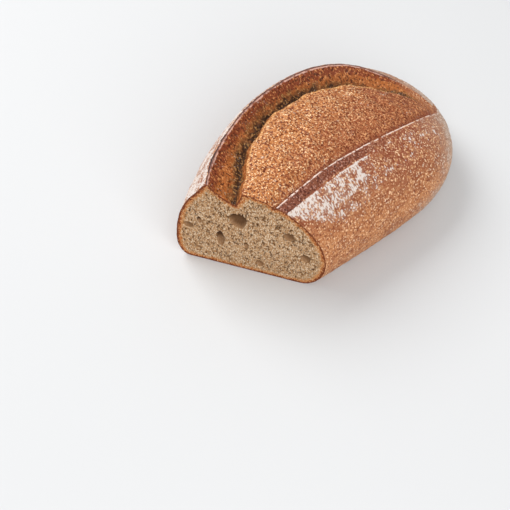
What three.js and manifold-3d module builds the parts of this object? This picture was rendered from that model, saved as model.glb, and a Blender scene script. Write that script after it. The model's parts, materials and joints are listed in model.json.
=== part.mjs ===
// Heritage wheat loaf: the larger part of an oven-baked oval loaf, sliced on the bias at one end.
// One long score along the top has opened: its left lip stands up as an ear, a deep crevice runs
// behind the ear, and a rough bloom of torn dough swells between the crevice and the right lip.
// Millimetres, +X along the loaf from the cut to the round end, +Y to the ear, +Z up.
// The finished group's origin is the bottom centre of its bounding box.
import * as THREE from 'three';
import { mergeVertices } from 'three/addons/utils/BufferGeometryUtils.js';
import Module from 'manifold-3d';

// ---- Plan: the outline at its widest, seen from above ----
const LENGTH = 198.8; // x of the round end's tip; the score starts near x = 0
const HALF_WIDTH = 68.4;
const WIDEST_AT = 122;
const END_FULLNESS = 2.44; // higher: straighter flanks and a blunter round end
const END_ROUNDNESS = 1.75;
const NARROWING_TO_CUT = 0.35; // share of the width lost towards the cut
const CENTRE_Y = -4;
const BEND_AT = 92; // the centre line bends to the right on both sides of this place
const TIP_BEND = -5.4;
const CUT_BEND = -10.9;
const FLARE = 3; // the left flank is this much wider at x = 0, and more towards the cut
const FLARE_FROM = 60; // the flare, belly drop and shoulder ease start here

// ---- Height ----
const CREST = 85.8;
const CREST_FALLS_FROM = 61;
const CREST_FALL_POWER = 1.37;
const TIP_HEIGHT = 24; // the round end ends this far above the base
const BELLY_RIGHT = 28; // height of the widest line of each flank
const BELLY_LEFT = 30.4;
const BELLY_DROP = 9; // the left one is this much lower at x = 0, and more towards the cut
const SHOULDER_RIGHT = 2.1; // 2 is an ellipse, higher is squarer
const SHOULDER_LEFT = 2.58;
const SHOULDER_EASE = 0.32; // and this much less square at x = 0
const INSET_RIGHT = 14; // how far the flat base lies inside the belly
const INSET_LEFT = 10;
const FULL_INSET_WIDTH = 30; // the inset shrinks where the loaf is narrower than this
const BASE_LIFT_LENGTH = 11; // the underside curls up over this last stretch

// ---- The score ----
const SCORE_END_X = 185;
const LIP_Y = -34.5; // the right lip runs along the loaf, swaying a little
const LIP_SWAY = 1.2;
const LIP_SWAY_FROM = 30;
const LIP_SWAY_LENGTH = 150;
const LIP_STEP = 1.8; // the right lip stands this far over the bloom beside it
const BLOOM = { middle: 106.3, toCut: 117, width: 58.3, power: 2.5, root: 1.22 };
const EAR = { middle: 117, toCut: 133.4, width: 81.4, power: 1.7, root: 0.42 };
const EAR_LIFT = 5.7;
const EAR_LIFT_REACH = 7; // the flank starts to lift this far outside the ear's edge
const EAR_THICKNESS = 3;
const EAR_CROWN = 0.6; // how far its edge is rounded up
const EAR_INNER_DROP = 1.2; // its inner corner lies this far under its outer one
const EAR_WALL_SAG = 1.2;
const CREVICE_DEPTH = 14;
const CREVICE_FOOT = 6; // how far the crevice's bottom lies from the bloom's edge
const FOOT_MOST = 0.4; // but never more than this share of the opening
const BLOOM_SUNK = 3; // the bloom's edge lies this far under the plain crust
const BLOOM_RIM = 2; // and its first fifth rounds up by this much
const BLOOM_RIM_SHARE = 0.2;
const TROUGH_SHARE = 0.2; // the bloom's last fifth dips towards the right lip
const LIP_CHAMFER = 1.5;
const LEAST_EAR = 2; // least gap between ear and bloom
const TAPER_LENGTH = 34; // ear, crevice and lip fade out over this stretch before the score's end
const END_REACH = 0.62; // past its end the score's line keeps to this share of the half width
const END_SPREAD = { bloom: 0.06, ear: 0.14 }; // least openings there, as shares of the half width

// ---- Rough dough ----
const LUMP_HEIGHT = 1.1;
const LUMP_SIZE = 7.5;
const RAGGED_EDGE = 0.9;
const CRUST_WAVE = 0.35;
const CRUST_WAVE_SIZE = [17, 13];

// ---- The cut ----
const CUT_BIAS = THREE.MathUtils.degToRad(30); // the knife's slant across the loaf
const CUT_AT = 3; // distance of the cut plane from the score line's start, along its normal
const PAST_CUT = 34; // the body is made this much longer, then cut off
const BLADE = 320;

// Large holes in the crumb that the knife opened: place across the face from its middle to the
// right, height above the base, half width, half height (mm).
const HOLES = [
  { across: 0, up: 54, wide: 5.6, high: 8 },
  { across: -12.5, up: 29, wide: 2.8, high: 8.6 },
  { across: -35, up: 36, wide: 3.6, high: 3.3 },
  { across: -27, up: 44, wide: 1.8, high: 4.3 },
  { across: 35, up: 50, wide: 3.9, high: 3.9 },
  { across: 47, up: 30, wide: 3.6, high: 4.3 },
  { across: 15, up: 11, wide: 2.7, high: 4.1 },
  { across: 5.5, up: 28, wide: 1.8, high: 3.6 },
  { across: -28.5, up: 13, wide: 2.4, high: 1.8 },
];
const HOLE_DEPTH = 0.8; // of its half width

// ---- Fineness of the faceted surface ----
const STATIONS = 72;
const STEPS = { undercut: 4, leftFlank: 10, lip: 3, earWall: 5, cliff: 3, bloom: 15, step: 2,
  rightFlank: 16, base: 5 };
const HOLE_STEPS = 12;

const clamp01 = (value) => Math.min(1, Math.max(0, value));
const mix = (from, to, share) => from + (to - from) * share;
const smooth = (share) => share * share * (3 - 2 * share);

/** Repeatable value from 0 to 1 for a whole-number place. */
function scatter(i, j) {
  const wave = Math.sin(i * 127.1 + j * 311.7) * 43758.5453;
  return wave - Math.floor(wave);
}

/** Smooth lumps from -1 to 1 over the plan. */
function lumps(x, y) {
  const i = Math.floor(x);
  const j = Math.floor(y);
  const u = smooth(x - i);
  const v = smooth(y - j);
  const near = mix(scatter(i, j), scatter(i + 1, j), u);
  const far = mix(scatter(i, j + 1), scatter(i + 1, j + 1), u);
  return 2 * mix(near, far, v) - 1;
}

function centreLine(x) {
  const toTip = clamp01((x - BEND_AT) / (LENGTH - BEND_AT));
  const toCut = Math.max(0, (BEND_AT - x) / BEND_AT);
  return CENTRE_Y + TIP_BEND * toTip ** 2 + CUT_BEND * toCut ** 2;
}

function halfWidth(x) {
  const toTip = clamp01((x - WIDEST_AT) / (LENGTH - WIDEST_AT));
  const toCut = Math.max(0, (WIDEST_AT - x) / WIDEST_AT);
  const rounded = Math.max(0, 1 - toTip ** END_FULLNESS) ** (1 / END_ROUNDNESS);
  return HALF_WIDTH * rounded * (1 - NARROWING_TO_CUT * toCut ** 2);
}

/** How strongly the left flank spreads near the cut: 0 along the loaf, 1 at x = 0. */
const toFlare = (x) => Math.max(0, (FLARE_FROM - x) / FLARE_FROM) ** 2;

/** Distance from the centre line to the belly of one flank; side is 1 on the left, -1 on the right. */
const sideWidth = (x, side) => halfWidth(x) + (side > 0 ? FLARE * toFlare(x) : 0);

/** Share of the full height that the loaf has at x: 1 along the middle, 0 at the tip. */
function swell(x) {
  const toTip = clamp01((x - CREST_FALLS_FROM) / (LENGTH - CREST_FALLS_FROM));
  return Math.sqrt(Math.max(0, 1 - toTip ** CREST_FALL_POWER));
}

const crestHeight = (x) => mix(TIP_HEIGHT, CREST, swell(x));

/** Height of the widest line of one flank. */
function bellyHeight(x, side) {
  if (side < 0) return mix(TIP_HEIGHT, BELLY_RIGHT, swell(x));
  return mix(TIP_HEIGHT, BELLY_LEFT, swell(x)) - BELLY_DROP * toFlare(x);
}

/** Squareness of one flank's section. */
const shoulder = (x, side) => (side > 0 ? SHOULDER_LEFT - SHOULDER_EASE * toFlare(x) : SHOULDER_RIGHT);

/** Height of the plain, unscored crust over a place in the plan. */
function crustHeight(x, y) {
  const fromCentre = y - centreLine(x);
  const side = fromCentre > 0 ? 1 : -1;
  const reach = clamp01(Math.abs(fromCentre) / Math.max(sideWidth(x, side), 1e-6));
  const round = Math.sqrt(1 - reach ** shoulder(x, side));
  return mix(bellyHeight(x, side), crestHeight(x), round);
}

/** Half of a lens: 1 in its middle, 0 at the score's end. */
function lens(x, shape) {
  const away = x > shape.middle
    ? (x - shape.middle) / (SCORE_END_X - shape.middle)
    : (shape.middle - x) / shape.toCut;
  return Math.max(0, 1 - Math.min(1, away) ** shape.power) ** shape.root;
}

function lipLine(x) {
  const sway = LIP_SWAY * Math.sin((2 * Math.PI * (x - LIP_SWAY_FROM)) / LIP_SWAY_LENGTH);
  return Math.max(LIP_Y + sway, centreLine(x) - END_REACH * halfWidth(x));
}

const earLine = (x) => lipLine(x) + EAR.width * lens(x, EAR);
const fade = (x) => smooth(clamp01((SCORE_END_X - x) / TAPER_LENGTH));

function bloomLine(x) {
  const ragged = Math.sin(x / 5.3) + 0.6 * Math.sin(x / 2.4 + 1);
  return lipLine(x) + BLOOM.width * lens(x, BLOOM) + RAGGED_EDGE * fade(x) * ragged;
}

/** Lowest height of the section at x: the flat base, curling up under the round end. */
function underside(x) {
  const curl = clamp01((x - LENGTH + BASE_LIFT_LENGTH) / BASE_LIFT_LENGTH);
  return TIP_HEIGHT * (1 - Math.sqrt(1 - curl ** 2));
}

/** Quarter round from the base's corner out to the belly. */
function undercut(x, side, steps) {
  const width = sideWidth(x, side);
  const inset = (side > 0 ? INSET_LEFT : INSET_RIGHT) * Math.min(1, width / FULL_INSET_WIDTH);
  const belly = bellyHeight(x, side);
  const points = [];
  for (let i = 0; i < steps; i += 1) {
    const turn = (Math.PI / 2) * (1 - i / steps);
    const y = centreLine(x) + side * (width - inset * (1 - Math.cos(turn)));
    points.push([y, mix(belly, underside(x), Math.sin(turn))]);
  }
  return points;
}

/** Crust from the belly up to the plan place endY, with even turns of its oval. */
function flank(x, side, endY, steps) {
  const width = Math.max(sideWidth(x, side), 1e-6);
  const power = shoulder(x, side);
  const reach = (side * (endY - centreLine(x))) / width;
  const endTurn = Math.asin(clamp01(Math.abs(reach)) ** (power / 2)) * Math.sign(reach || 1);
  const points = [];
  for (let i = 0; i < steps; i += 1) {
    const turn = mix(Math.PI / 2, endTurn, i / steps);
    const out = Math.sign(turn) * Math.abs(Math.sin(turn)) ** (2 / power);
    const y = centreLine(x) + side * width * out;
    points.push([y, crustHeight(x, y)]);
  }
  return points;
}

/** Points on a straight or sagging line from one point up to, but not including, the next. */
function slope(from, to, steps, sag = 0) {
  const points = [];
  for (let i = 0; i < steps; i += 1) {
    const share = i / steps;
    const low = sag * 4 * share * (1 - share);
    points.push([mix(from[0], to[0], share), mix(from[1], to[1], share) - low]);
  }
  return points;
}

/** The torn dough between the crevice and the right lip. */
function bloom(x, fromY, toY, steps) {
  const points = [];
  for (let i = 0; i < steps; i += 1) {
    const share = i / steps;
    const y = mix(fromY, toY, share);
    const rim = BLOOM_RIM * (1 - Math.sqrt(clamp01(share / BLOOM_RIM_SHARE)));
    const trough = LIP_STEP * smooth(clamp01((share - 1 + TROUGH_SHARE) / TROUGH_SHARE));
    const lump = LUMP_HEIGHT * lumps(x / LUMP_SIZE, y / LUMP_SIZE) * Math.sin(Math.PI * share);
    points.push([y, crustHeight(x, y) + fade(x) * (lump - trough - rim)]);
  }
  return points;
}

/** The score's four lines at x, from the right lip to the ear's outer edge, and their strength. */
function scoreAt(x) {
  const strength = fade(x);
  const lipY = lipLine(x);
  const earY = Math.max(earLine(x), lipY + END_SPREAD.ear * halfWidth(x));
  const openY = Math.max(bloomLine(x), lipY + END_SPREAD.bloom * halfWidth(x));
  const bloomY = Math.min(openY, earY - (EAR_THICKNESS + LEAST_EAR) * strength);
  const innerY = earY - EAR_THICKNESS * strength;
  const footY = bloomY + Math.min(CREVICE_FOOT * strength, (innerY - bloomY) * FOOT_MOST);
  return { strength, lipY, bloomY, footY, innerY, earY };
}

/** One closed cross-section, clockwise seen from the cut: up the ear side and down the other. */
function section(x) {
  const { strength, lipY, bloomY, footY, innerY, earY } = scoreAt(x);
  const edge = [earY, crustHeight(x, earY) + EAR_LIFT * strength];
  const inner = [innerY, edge[1] - EAR_INNER_DROP * strength];
  const bloomEdge = [bloomY, crustHeight(x, bloomY) - BLOOM_SUNK * strength];
  const foot = [footY, bloomEdge[1] - (CREVICE_DEPTH - BLOOM_SUNK) * strength];
  const lip = [lipY, crustHeight(x, lipY)];
  const lipFoot = [lipY + LIP_CHAMFER * strength, lip[1] - LIP_STEP * strength];
  const rightBelly = [centreLine(x) - halfWidth(x), bellyHeight(x, -1)];
  const leftFoot = undercut(x, 1, STEPS.undercut);
  const rightFoot = undercut(x, -1, STEPS.undercut);
  const left = flank(x, 1, earY, STEPS.leftFlank).map(([y, z]) => {
    const near = Math.exp(-(((y - earY) / EAR_LIFT_REACH) ** 2));
    return [y, z + EAR_LIFT * strength * near];
  });
  const right = flank(x, -1, lipY, STEPS.rightFlank).map(([y, z]) => {
    const wave = lumps(x / CRUST_WAVE_SIZE[0], y / CRUST_WAVE_SIZE[1]);
    return [y, z + CRUST_WAVE * swell(x) * wave];
  });
  return [
    ...leftFoot,
    ...left,
    ...slope(edge, inner, STEPS.lip, -EAR_CROWN * strength),
    ...slope(inner, foot, STEPS.earWall, EAR_WALL_SAG * strength),
    ...slope(foot, bloomEdge, STEPS.cliff),
    ...bloom(x, bloomY, lipFoot[0], STEPS.bloom),
    ...slope(lipFoot, lip, STEPS.step),
    lip,
    ...right.slice(1).reverse(),
    rightBelly,
    ...rightFoot.slice(1).reverse(),
    ...slope(rightFoot[0], leftFoot[0], STEPS.base),
  ];
}

/** Places of the cross-sections: close together where the round end turns in. */
function stations() {
  const places = [];
  for (let i = 0; i < STATIONS; i += 1) {
    const share = i / STATIONS;
    places.push(-PAST_CUT + (LENGTH + PAST_CUT) * Math.sin((Math.PI / 2) * share));
  }
  return places;
}

/** The uncut body: a skin over all the sections, closed by a fan at the tip and one past the cut. */
function bodyGeometry() {
  const rings = stations().map((x) => section(x).map(([y, z]) => new THREE.Vector3(x, y, z)));
  const count = rings[0].length;
  const points = rings.flat();
  const start = points.push(new THREE.Vector3(-PAST_CUT, centreLine(-PAST_CUT), TIP_HEIGHT)) - 1;
  const tip = points.push(new THREE.Vector3(LENGTH, centreLine(LENGTH), TIP_HEIGHT)) - 1;
  const faces = [];
  for (let i = 0; i < count; i += 1) {
    const next = (i + 1) % count;
    for (let ring = 0; ring < rings.length - 1; ring += 1) {
      const here = ring * count;
      const there = here + count;
      faces.push(here + i, here + next, there + i, there + i, here + next, there + next);
    }
    const last = (rings.length - 1) * count;
    faces.push(start, next, i);
    faces.push(tip, last + i, last + next);
  }
  const geometry = new THREE.BufferGeometry().setFromPoints(points);
  geometry.setIndex(faces);
  return geometry;
}

const wasm = await Module();
wasm.setup();

function toSolid(geometry) {
  const bare = geometry.clone();
  bare.deleteAttribute('normal');
  bare.deleteAttribute('uv');
  const merged = mergeVertices(bare, 1e-4);
  const mesh = new wasm.Mesh({
    numProp: 3,
    vertProperties: new Float32Array(merged.attributes.position.array),
    triVerts: new Uint32Array(merged.index.array),
  });
  return new wasm.Manifold(mesh);
}

function toGeometry(solid) {
  const { vertProperties, triVerts } = solid.getMesh();
  const geometry = new THREE.BufferGeometry();
  geometry.setAttribute('position', new THREE.BufferAttribute(new Float32Array(vertProperties), 3));
  geometry.setIndex(new THREE.BufferAttribute(new Uint32Array(triVerts), 1));
  return geometry;
}

/** Turns a shape from the knife's own axes (X along its normal, into the loaf) to the loaf's. */
function alongCut(geometry) {
  return geometry.translate(CUT_AT, 0, 0).rotateZ(CUT_BIAS);
}

function bladeGeometry() {
  return alongCut(new THREE.BoxGeometry(BLADE, BLADE, BLADE).translate(-BLADE / 2, 0, 0));
}

/** Middle of the cut face across the loaf, in the knife's axes. */
function faceMiddle() {
  const x = CUT_AT / Math.cos(CUT_BIAS) - centreLine(0) * Math.tan(CUT_BIAS);
  return centreLine(x) / Math.cos(CUT_BIAS) - CUT_AT * Math.tan(CUT_BIAS);
}

function holeGeometry({ across, up, wide, high }) {
  const ball = new THREE.SphereGeometry(1, HOLE_STEPS, HOLE_STEPS / 2 + 2);
  ball.scale(wide * HOLE_DEPTH, wide, high);
  return alongCut(ball.translate(0, faceMiddle() - across, up));
}

function loafGeometry() {
  const cutters = [bladeGeometry(), ...HOLES.map(holeGeometry)].map(toSolid);
  const solid = cutters.reduce((loaf, cutter) => loaf.subtract(cutter), toSolid(bodyGeometry()));
  const geometry = toGeometry(solid);
  geometry.computeBoundingBox();
  const { min, max } = geometry.boundingBox;
  geometry.translate(-(min.x + max.x) / 2, -(min.y + max.y) / 2, -min.z);
  geometry.computeVertexNormals();
  return geometry;
}

const crust = new THREE.MeshStandardMaterial({ color: '#a8683a', roughness: 0.75, metalness: 0 });
const loaf = new THREE.Mesh(loafGeometry(), crust);
loaf.name = 'loaf';

const bread = new THREE.Group();
bread.add(loaf);

export default bread;
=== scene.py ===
"""Looks of a heritage wheat loaf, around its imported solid.

The loaf is one baked piece, sliced on the bias at one end. Its form is worked out in millimetres
in the loaf's working frame: x runs from where the score starts to the round end, y to the raised
ear, z up from the base. Meshes are turned to metres in the row frame when they are made.
"""

import json
import logging
import math
from dataclasses import dataclass, field
from enum import Enum, auto
from typing import Any

import bpy
import numpy as np
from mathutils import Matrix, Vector, kdtree, noise

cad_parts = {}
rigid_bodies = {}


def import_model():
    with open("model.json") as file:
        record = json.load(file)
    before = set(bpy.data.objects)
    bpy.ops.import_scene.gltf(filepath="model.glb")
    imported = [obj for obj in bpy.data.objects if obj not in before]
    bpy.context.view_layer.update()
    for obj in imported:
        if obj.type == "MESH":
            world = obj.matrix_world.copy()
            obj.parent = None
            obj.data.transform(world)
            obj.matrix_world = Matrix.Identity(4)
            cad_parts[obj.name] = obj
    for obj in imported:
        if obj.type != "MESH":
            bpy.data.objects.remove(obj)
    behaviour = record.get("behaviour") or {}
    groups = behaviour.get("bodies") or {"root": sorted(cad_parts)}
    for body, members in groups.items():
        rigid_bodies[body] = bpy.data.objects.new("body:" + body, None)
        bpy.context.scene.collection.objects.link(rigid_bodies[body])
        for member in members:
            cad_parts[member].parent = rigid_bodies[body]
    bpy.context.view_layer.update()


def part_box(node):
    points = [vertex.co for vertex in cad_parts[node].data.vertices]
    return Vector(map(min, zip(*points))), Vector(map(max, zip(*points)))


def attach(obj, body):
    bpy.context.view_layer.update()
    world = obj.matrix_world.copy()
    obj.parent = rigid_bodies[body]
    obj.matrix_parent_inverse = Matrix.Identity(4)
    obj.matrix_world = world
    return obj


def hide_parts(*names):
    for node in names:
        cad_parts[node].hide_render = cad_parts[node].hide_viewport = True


LOG = logging.getLogger("loaf")
MM = 0.001

# What each point of the skin knows: how far it is, in mm, outwards from the ear's edge and from
# the right lip, inwards from the edges of the bloom and of the torn wall, and from the crevice's
# bottom, then how strong the score is and how far the point stands out.
SKIN_TRAITS = ("ear_mm", "lip_mm", "bloom_mm", "wall_mm", "foot_mm", "score", "relief")

# The solid's lumps are scattered by a sine of these steps, stretched until only chance is left.
SCATTER_ALONG = 127.1
SCATTER_ACROSS = 311.7
SCATTER_STRETCH = 43758.5453


# ---- Small helpers ----


def smooth(share: np.ndarray) -> np.ndarray:
    """Eases a share from 0 to 1, with both ends held."""
    held = np.clip(share, 0.0, 1.0)
    return held * held * (3.0 - 2.0 * held)


def mix(start: Any, end: Any, share: Any) -> Any:
    """Value part of the way from start to end."""
    return start + (end - start) * share


@dataclass(frozen=True)
class Fade:
    """An even step over values that change along or across the loaf.

    Attributes:
        start: value at which the step is 0.
        end: value at which it is 1, which may be the lower one.
    """

    start: float
    end: float

    def at(self, values: np.ndarray) -> np.ndarray:
        """How far each value has come, 0 to 1."""
        return smooth((values - self.start) / (self.end - self.start))


def linear(code: str) -> tuple[float, float, float, float]:
    """Turns an sRGB hex colour to linear red, green, blue and alpha.

    Args:
        code: colour as six hex digits, with or without a leading hash.

    Returns:
        The linear colour with alpha 1.
    """
    digits = code.lstrip("#")
    values = [int(digits[i : i + 2], 16) / 255.0 for i in (0, 2, 4)]
    red, green, blue = [
        v / 12.92 if v <= 0.04045 else ((v + 0.055) / 1.055) ** 2.4 for v in values
    ]
    return red, green, blue, 1.0


def dough_noise(
    places: np.ndarray, size: tuple[float, float, float], octaves: int = 1
) -> np.ndarray:
    """Smooth repeatable noise over places in the loaf.

    Args:
        places: points in mm, with x, y and z along the last axis.
        size: length of one wave along x, y and z, in mm.
        octaves: how many finer layers it has.

    Returns:
        Values of about -1 to 1, one for each place.
    """
    scaled = (places.reshape(-1, 3) / np.array(size)).tolist()
    values = [
        noise.fractal(place, 1.0, 2.0, octaves, noise_basis="PERLIN_ORIGINAL") for place in scaled
    ]
    return np.array(values).reshape(places.shape[:-1])


def dough_cells(places: np.ndarray, size: float) -> np.ndarray:
    """Distance to the nearest of many scattered points, as a share of their spacing.

    Args:
        places: points in mm, with x, y and z along the last axis.
        size: spacing of the scattered points, in mm.

    Returns:
        Values of 0 at a scattered point to about 1 far from all of them.
    """
    scaled = (places.reshape(-1, 3) / size).tolist()
    values = [noise.voronoi(place)[0][0] for place in scaled]
    return np.array(values).reshape(places.shape[:-1])


def plan_lumps(x: np.ndarray, y: np.ndarray) -> np.ndarray:
    """Lumps over the plan, the same ones that the solid has.

    Args:
        x: places along the loaf, counted in lumps.
        y: places across the loaf, counted in lumps.

    Returns:
        Values of -1 to 1, one for each place.
    """
    i = np.floor(x)
    j = np.floor(y)
    u = smooth(x - i)
    v = smooth(y - j)

    def scatter(a: np.ndarray, b: np.ndarray) -> np.ndarray:
        """A value of 0 to 1 for each corner of the lumps' grid."""
        wave = np.sin(a * SCATTER_ALONG + b * SCATTER_ACROSS) * SCATTER_STRETCH
        return wave - np.floor(wave)

    near = mix(scatter(i, j), scatter(i + 1, j), u)
    far = mix(scatter(i, j + 1), scatter(i + 1, j + 1), u)
    return 2.0 * mix(near, far, v) - 1.0


def only(piece: bpy.types.Object) -> None:
    """Selects one piece alone and makes it active.

    Args:
        piece: what the next operators work on.
    """
    for other in bpy.context.scene.objects:
        other.select_set(False)
    piece.select_set(True)
    bpy.context.view_layer.objects.active = piece


def read_points(piece: bpy.types.Object) -> np.ndarray:
    """Reads where a piece's vertices are.

    Args:
        piece: a mesh object.

    Returns:
        Rows of x, y and z in metres.
    """
    flat = np.empty(len(piece.data.vertices) * 3, np.float32)
    piece.data.vertices.foreach_get("co", flat)
    return flat.reshape(-1, 3).astype(float)


def write_points(piece: bpy.types.Object, points: np.ndarray) -> None:
    """Moves the piece's vertices to the given rows of x, y and z in metres."""
    piece.data.vertices.foreach_set("co", points.astype(np.float32).ravel())
    piece.data.update()


def read_trait(piece: bpy.types.Object, name: str) -> np.ndarray:
    """Reads one point attribute.

    Args:
        piece: a mesh object.
        name: of the attribute.

    Returns:
        Its values, one for each vertex.
    """
    values = np.empty(len(piece.data.vertices), np.float32)
    piece.data.attributes[name].data.foreach_get("value", values)
    return values.astype(float)


def write_trait(piece: bpy.types.Object, name: str, values: np.ndarray) -> None:
    """Writes a point attribute, making it if needed.

    Args:
        piece: a mesh object.
        name: of the attribute.
        values: one for each vertex.
    """
    found = piece.data.attributes.get(name)
    trait = found or piece.data.attributes.new(name, "FLOAT", "POINT")
    trait.data.foreach_set("value", values.astype(np.float32).ravel())


# ---- The loaf's form ----


class Region(Enum):
    """Strips of the crust, in the order that a cross-section meets them."""

    LEFT_UNDERCUT = auto()
    LEFT_FLANK = auto()
    EAR_EDGE = auto()
    EAR_WALL = auto()
    CLIFF = auto()
    BLOOM = auto()
    LIP_STEP = auto()
    RIGHT_FLANK = auto()
    RIGHT_UNDERCUT = auto()
    BASE = auto()


@dataclass(frozen=True)
class Opening:
    """How far the score has opened along the loaf: widest at one place, closed at its end.

    Attributes:
        middle: x of the widest place.
        to_cut: distance from there to where it would close towards the cut.
        width: widest opening.
        power: higher keeps it wide for longer.
        root: lower makes its end blunter.
    """

    middle: float
    to_cut: float
    width: float
    power: float
    root: float

    def across(self, x: np.ndarray, end_x: float) -> np.ndarray:
        """How far the score has opened.

        Args:
            x: stations.
            end_x: where the opening closes.

        Returns:
            The opening at every station.
        """
        past = (x - self.middle) / (end_x - self.middle)
        before = (self.middle - x) / self.to_cut
        away = np.minimum(1.0, np.where(x > self.middle, past, before))
        return self.width * np.maximum(0.0, 1.0 - away**self.power) ** self.root


@dataclass(frozen=True)
class LoafForm:
    """Main shape of the loaf, with the same named sizes as its solid (mm)."""

    # The plan: a long oval that bends to the right and narrows towards the cut.
    length: float = 198.8
    half_width_most: float = 68.4
    widest_at: float = 122.0
    end_fullness: float = 2.44
    end_roundness: float = 1.75
    narrowing_to_cut: float = 0.35
    centre_y: float = -4.0
    bend_at: float = 92.0
    tip_bend: float = -5.4
    cut_bend: float = -10.9
    flare: float = 3.0
    flare_from: float = 60.0
    narrow_below: float = 30.0

    # Heights and flanks: squarer shoulders on the left, rounder on the right.
    crest: float = 85.8
    crest_falls_from: float = 61.0
    crest_fall_power: float = 1.37
    tip_height: float = 24.0
    belly_right: float = 28.0
    belly_left: float = 30.4
    belly_drop: float = 9.0
    shoulder_right: float = 2.1
    shoulder_left: float = 2.58
    shoulder_ease: float = 0.32
    inset_right: float = 14.0
    inset_left: float = 10.0
    base_lift_length: float = 11.0

    # The score, its raised ear, the bloom inside it and the crevice between them.
    score_end_x: float = 185.0
    lip_y: float = -34.5
    lip_sway: float = 1.2
    lip_sway_from: float = 30.0
    lip_sway_length: float = 150.0
    lip_step: float = 1.8
    bloom: Opening = Opening(106.3, 117.0, 58.3, 2.5, 1.22)
    ear: Opening = Opening(117.0, 133.4, 81.4, 1.7, 0.42)
    ear_lift: float = 5.7
    ear_lift_reach: float = 7.0
    ear_thickness: float = 3.0
    ear_crown: float = 0.6
    ear_inner_drop: float = 1.2
    ear_wall_sag: float = 1.2
    crevice_depth: float = 14.0
    crevice_foot: float = 6.0
    foot_most: float = 0.4
    bloom_sunk: float = 3.0
    bloom_rim: float = 2.0
    bloom_rim_share: float = 0.2
    trough_share: float = 0.2
    lip_chamfer: float = 1.5
    least_ear: float = 2.0
    taper_length: float = 34.0
    end_reach: float = 0.62
    end_spread_bloom: float = 0.06
    end_spread_ear: float = 0.14

    # Relief that the solid has too. A ragged wave is its length over 2 pi, its height and its start.
    lump_height: float = 1.1
    lump_size: float = 7.5
    ragged_edge: float = 0.9
    ragged_waves: tuple[tuple[float, float, float], ...] = ((5.3, 1.0, 0.0), (2.4, 0.6, 1.0))
    crust_wave: float = 0.35
    crust_wave_size: tuple[float, float] = (17.0, 13.0)
    crust_wave_ease: float = 0.125

    def centre_line(self, x: np.ndarray) -> np.ndarray:
        """Middle of the loaf, which bends to the right towards both ends.

        Args:
            x: stations.

        Returns:
            y of the middle at every station.
        """
        to_tip = np.clip((x - self.bend_at) / (self.length - self.bend_at), 0.0, 1.0)
        to_cut = np.maximum(0.0, (self.bend_at - x) / self.bend_at)
        return self.centre_y + self.tip_bend * to_tip**2 + self.cut_bend * to_cut**2

    def to_flare(self, x: np.ndarray) -> np.ndarray:
        """How strongly the left flank spreads near the cut: 0 along the loaf, 1 at x = 0."""
        return np.maximum(0.0, (self.flare_from - x) / self.flare_from) ** 2

    def side_width(self, x: np.ndarray, left: np.ndarray | bool) -> np.ndarray:
        """Distance from the centre line to the belly of one flank."""
        return self.half_width(x) + np.where(left, self.flare * self.to_flare(x), 0.0)

    def half_width(self, x: np.ndarray) -> np.ndarray:
        """Half of the loaf's width at its belly, without the flare near the cut.

        Args:
            x: stations.

        Returns:
            The half width at every station.
        """
        to_tip = np.clip((x - self.widest_at) / (self.length - self.widest_at), 0.0, 1.0)
        to_cut = np.maximum(0.0, (self.widest_at - x) / self.widest_at)
        rounded = np.maximum(0.0, 1.0 - to_tip**self.end_fullness) ** (1.0 / self.end_roundness)
        return self.half_width_most * rounded * (1.0 - self.narrowing_to_cut * to_cut**2)

    def swell(self, x: np.ndarray) -> np.ndarray:
        """Share of the full height: 1 along the middle, 0 at the tip."""
        fall = np.clip(
            (x - self.crest_falls_from) / (self.length - self.crest_falls_from), 0.0, 1.0
        )
        return np.sqrt(np.maximum(0.0, 1.0 - fall**self.crest_fall_power))

    def belly(self, x: np.ndarray, left: np.ndarray | bool) -> np.ndarray:
        """Height of the widest line of a flank.

        Args:
            x: stations.
            left: whether it is the left flank.

        Returns:
            The height at every station.
        """
        lefts = mix(self.tip_height, self.belly_left, self.swell(x))
        rights = mix(self.tip_height, self.belly_right, self.swell(x))
        return np.where(left, lefts - self.belly_drop * self.to_flare(x), rights)

    def shoulder(self, x: np.ndarray, left: np.ndarray | bool) -> np.ndarray:
        """Squareness of a flank's section: 2 is an ellipse, higher is squarer."""
        lefts = self.shoulder_left - self.shoulder_ease * self.to_flare(x)
        return np.where(left, lefts, self.shoulder_right)

    def crust_height(self, x: np.ndarray, y: np.ndarray) -> np.ndarray:
        """Height of the plain, unscored crust over places in the plan.

        Args:
            x: along the loaf.
            y: across the loaf.

        Returns:
            z over each place.
        """
        from_centre = y - self.centre_line(x)
        left = from_centre > 0
        width = np.maximum(self.side_width(x, left), 1e-6)
        reach = np.clip(np.abs(from_centre) / width, 0.0, 1.0)
        top = mix(self.tip_height, self.crest, self.swell(x))
        return mix(self.belly(x, left), top, np.sqrt(1.0 - reach ** self.shoulder(x, left)))

    def lip_line(self, x: np.ndarray) -> np.ndarray:
        """The score's right lip, which sways a little.

        Args:
            x: stations.

        Returns:
            y of the lip at every station.
        """
        turn = 2.0 * math.pi * (x - self.lip_sway_from) / self.lip_sway_length
        least = self.centre_line(x) - self.end_reach * self.half_width(x)
        return np.maximum(self.lip_y + self.lip_sway * np.sin(turn), least)

    def fade(self, x: np.ndarray) -> np.ndarray:
        """Strength of the score: 1 along the loaf, easing to 0 at the score's end."""
        return smooth((self.score_end_x - x) / self.taper_length)

    def underside(self, x: np.ndarray) -> np.ndarray:
        """Lowest height at x: the flat base, curling up under the round end."""
        curl = np.clip((x - self.length + self.base_lift_length) / self.base_lift_length, 0.0, 1.0)
        return self.tip_height * (1.0 - np.sqrt(1.0 - curl**2))

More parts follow.
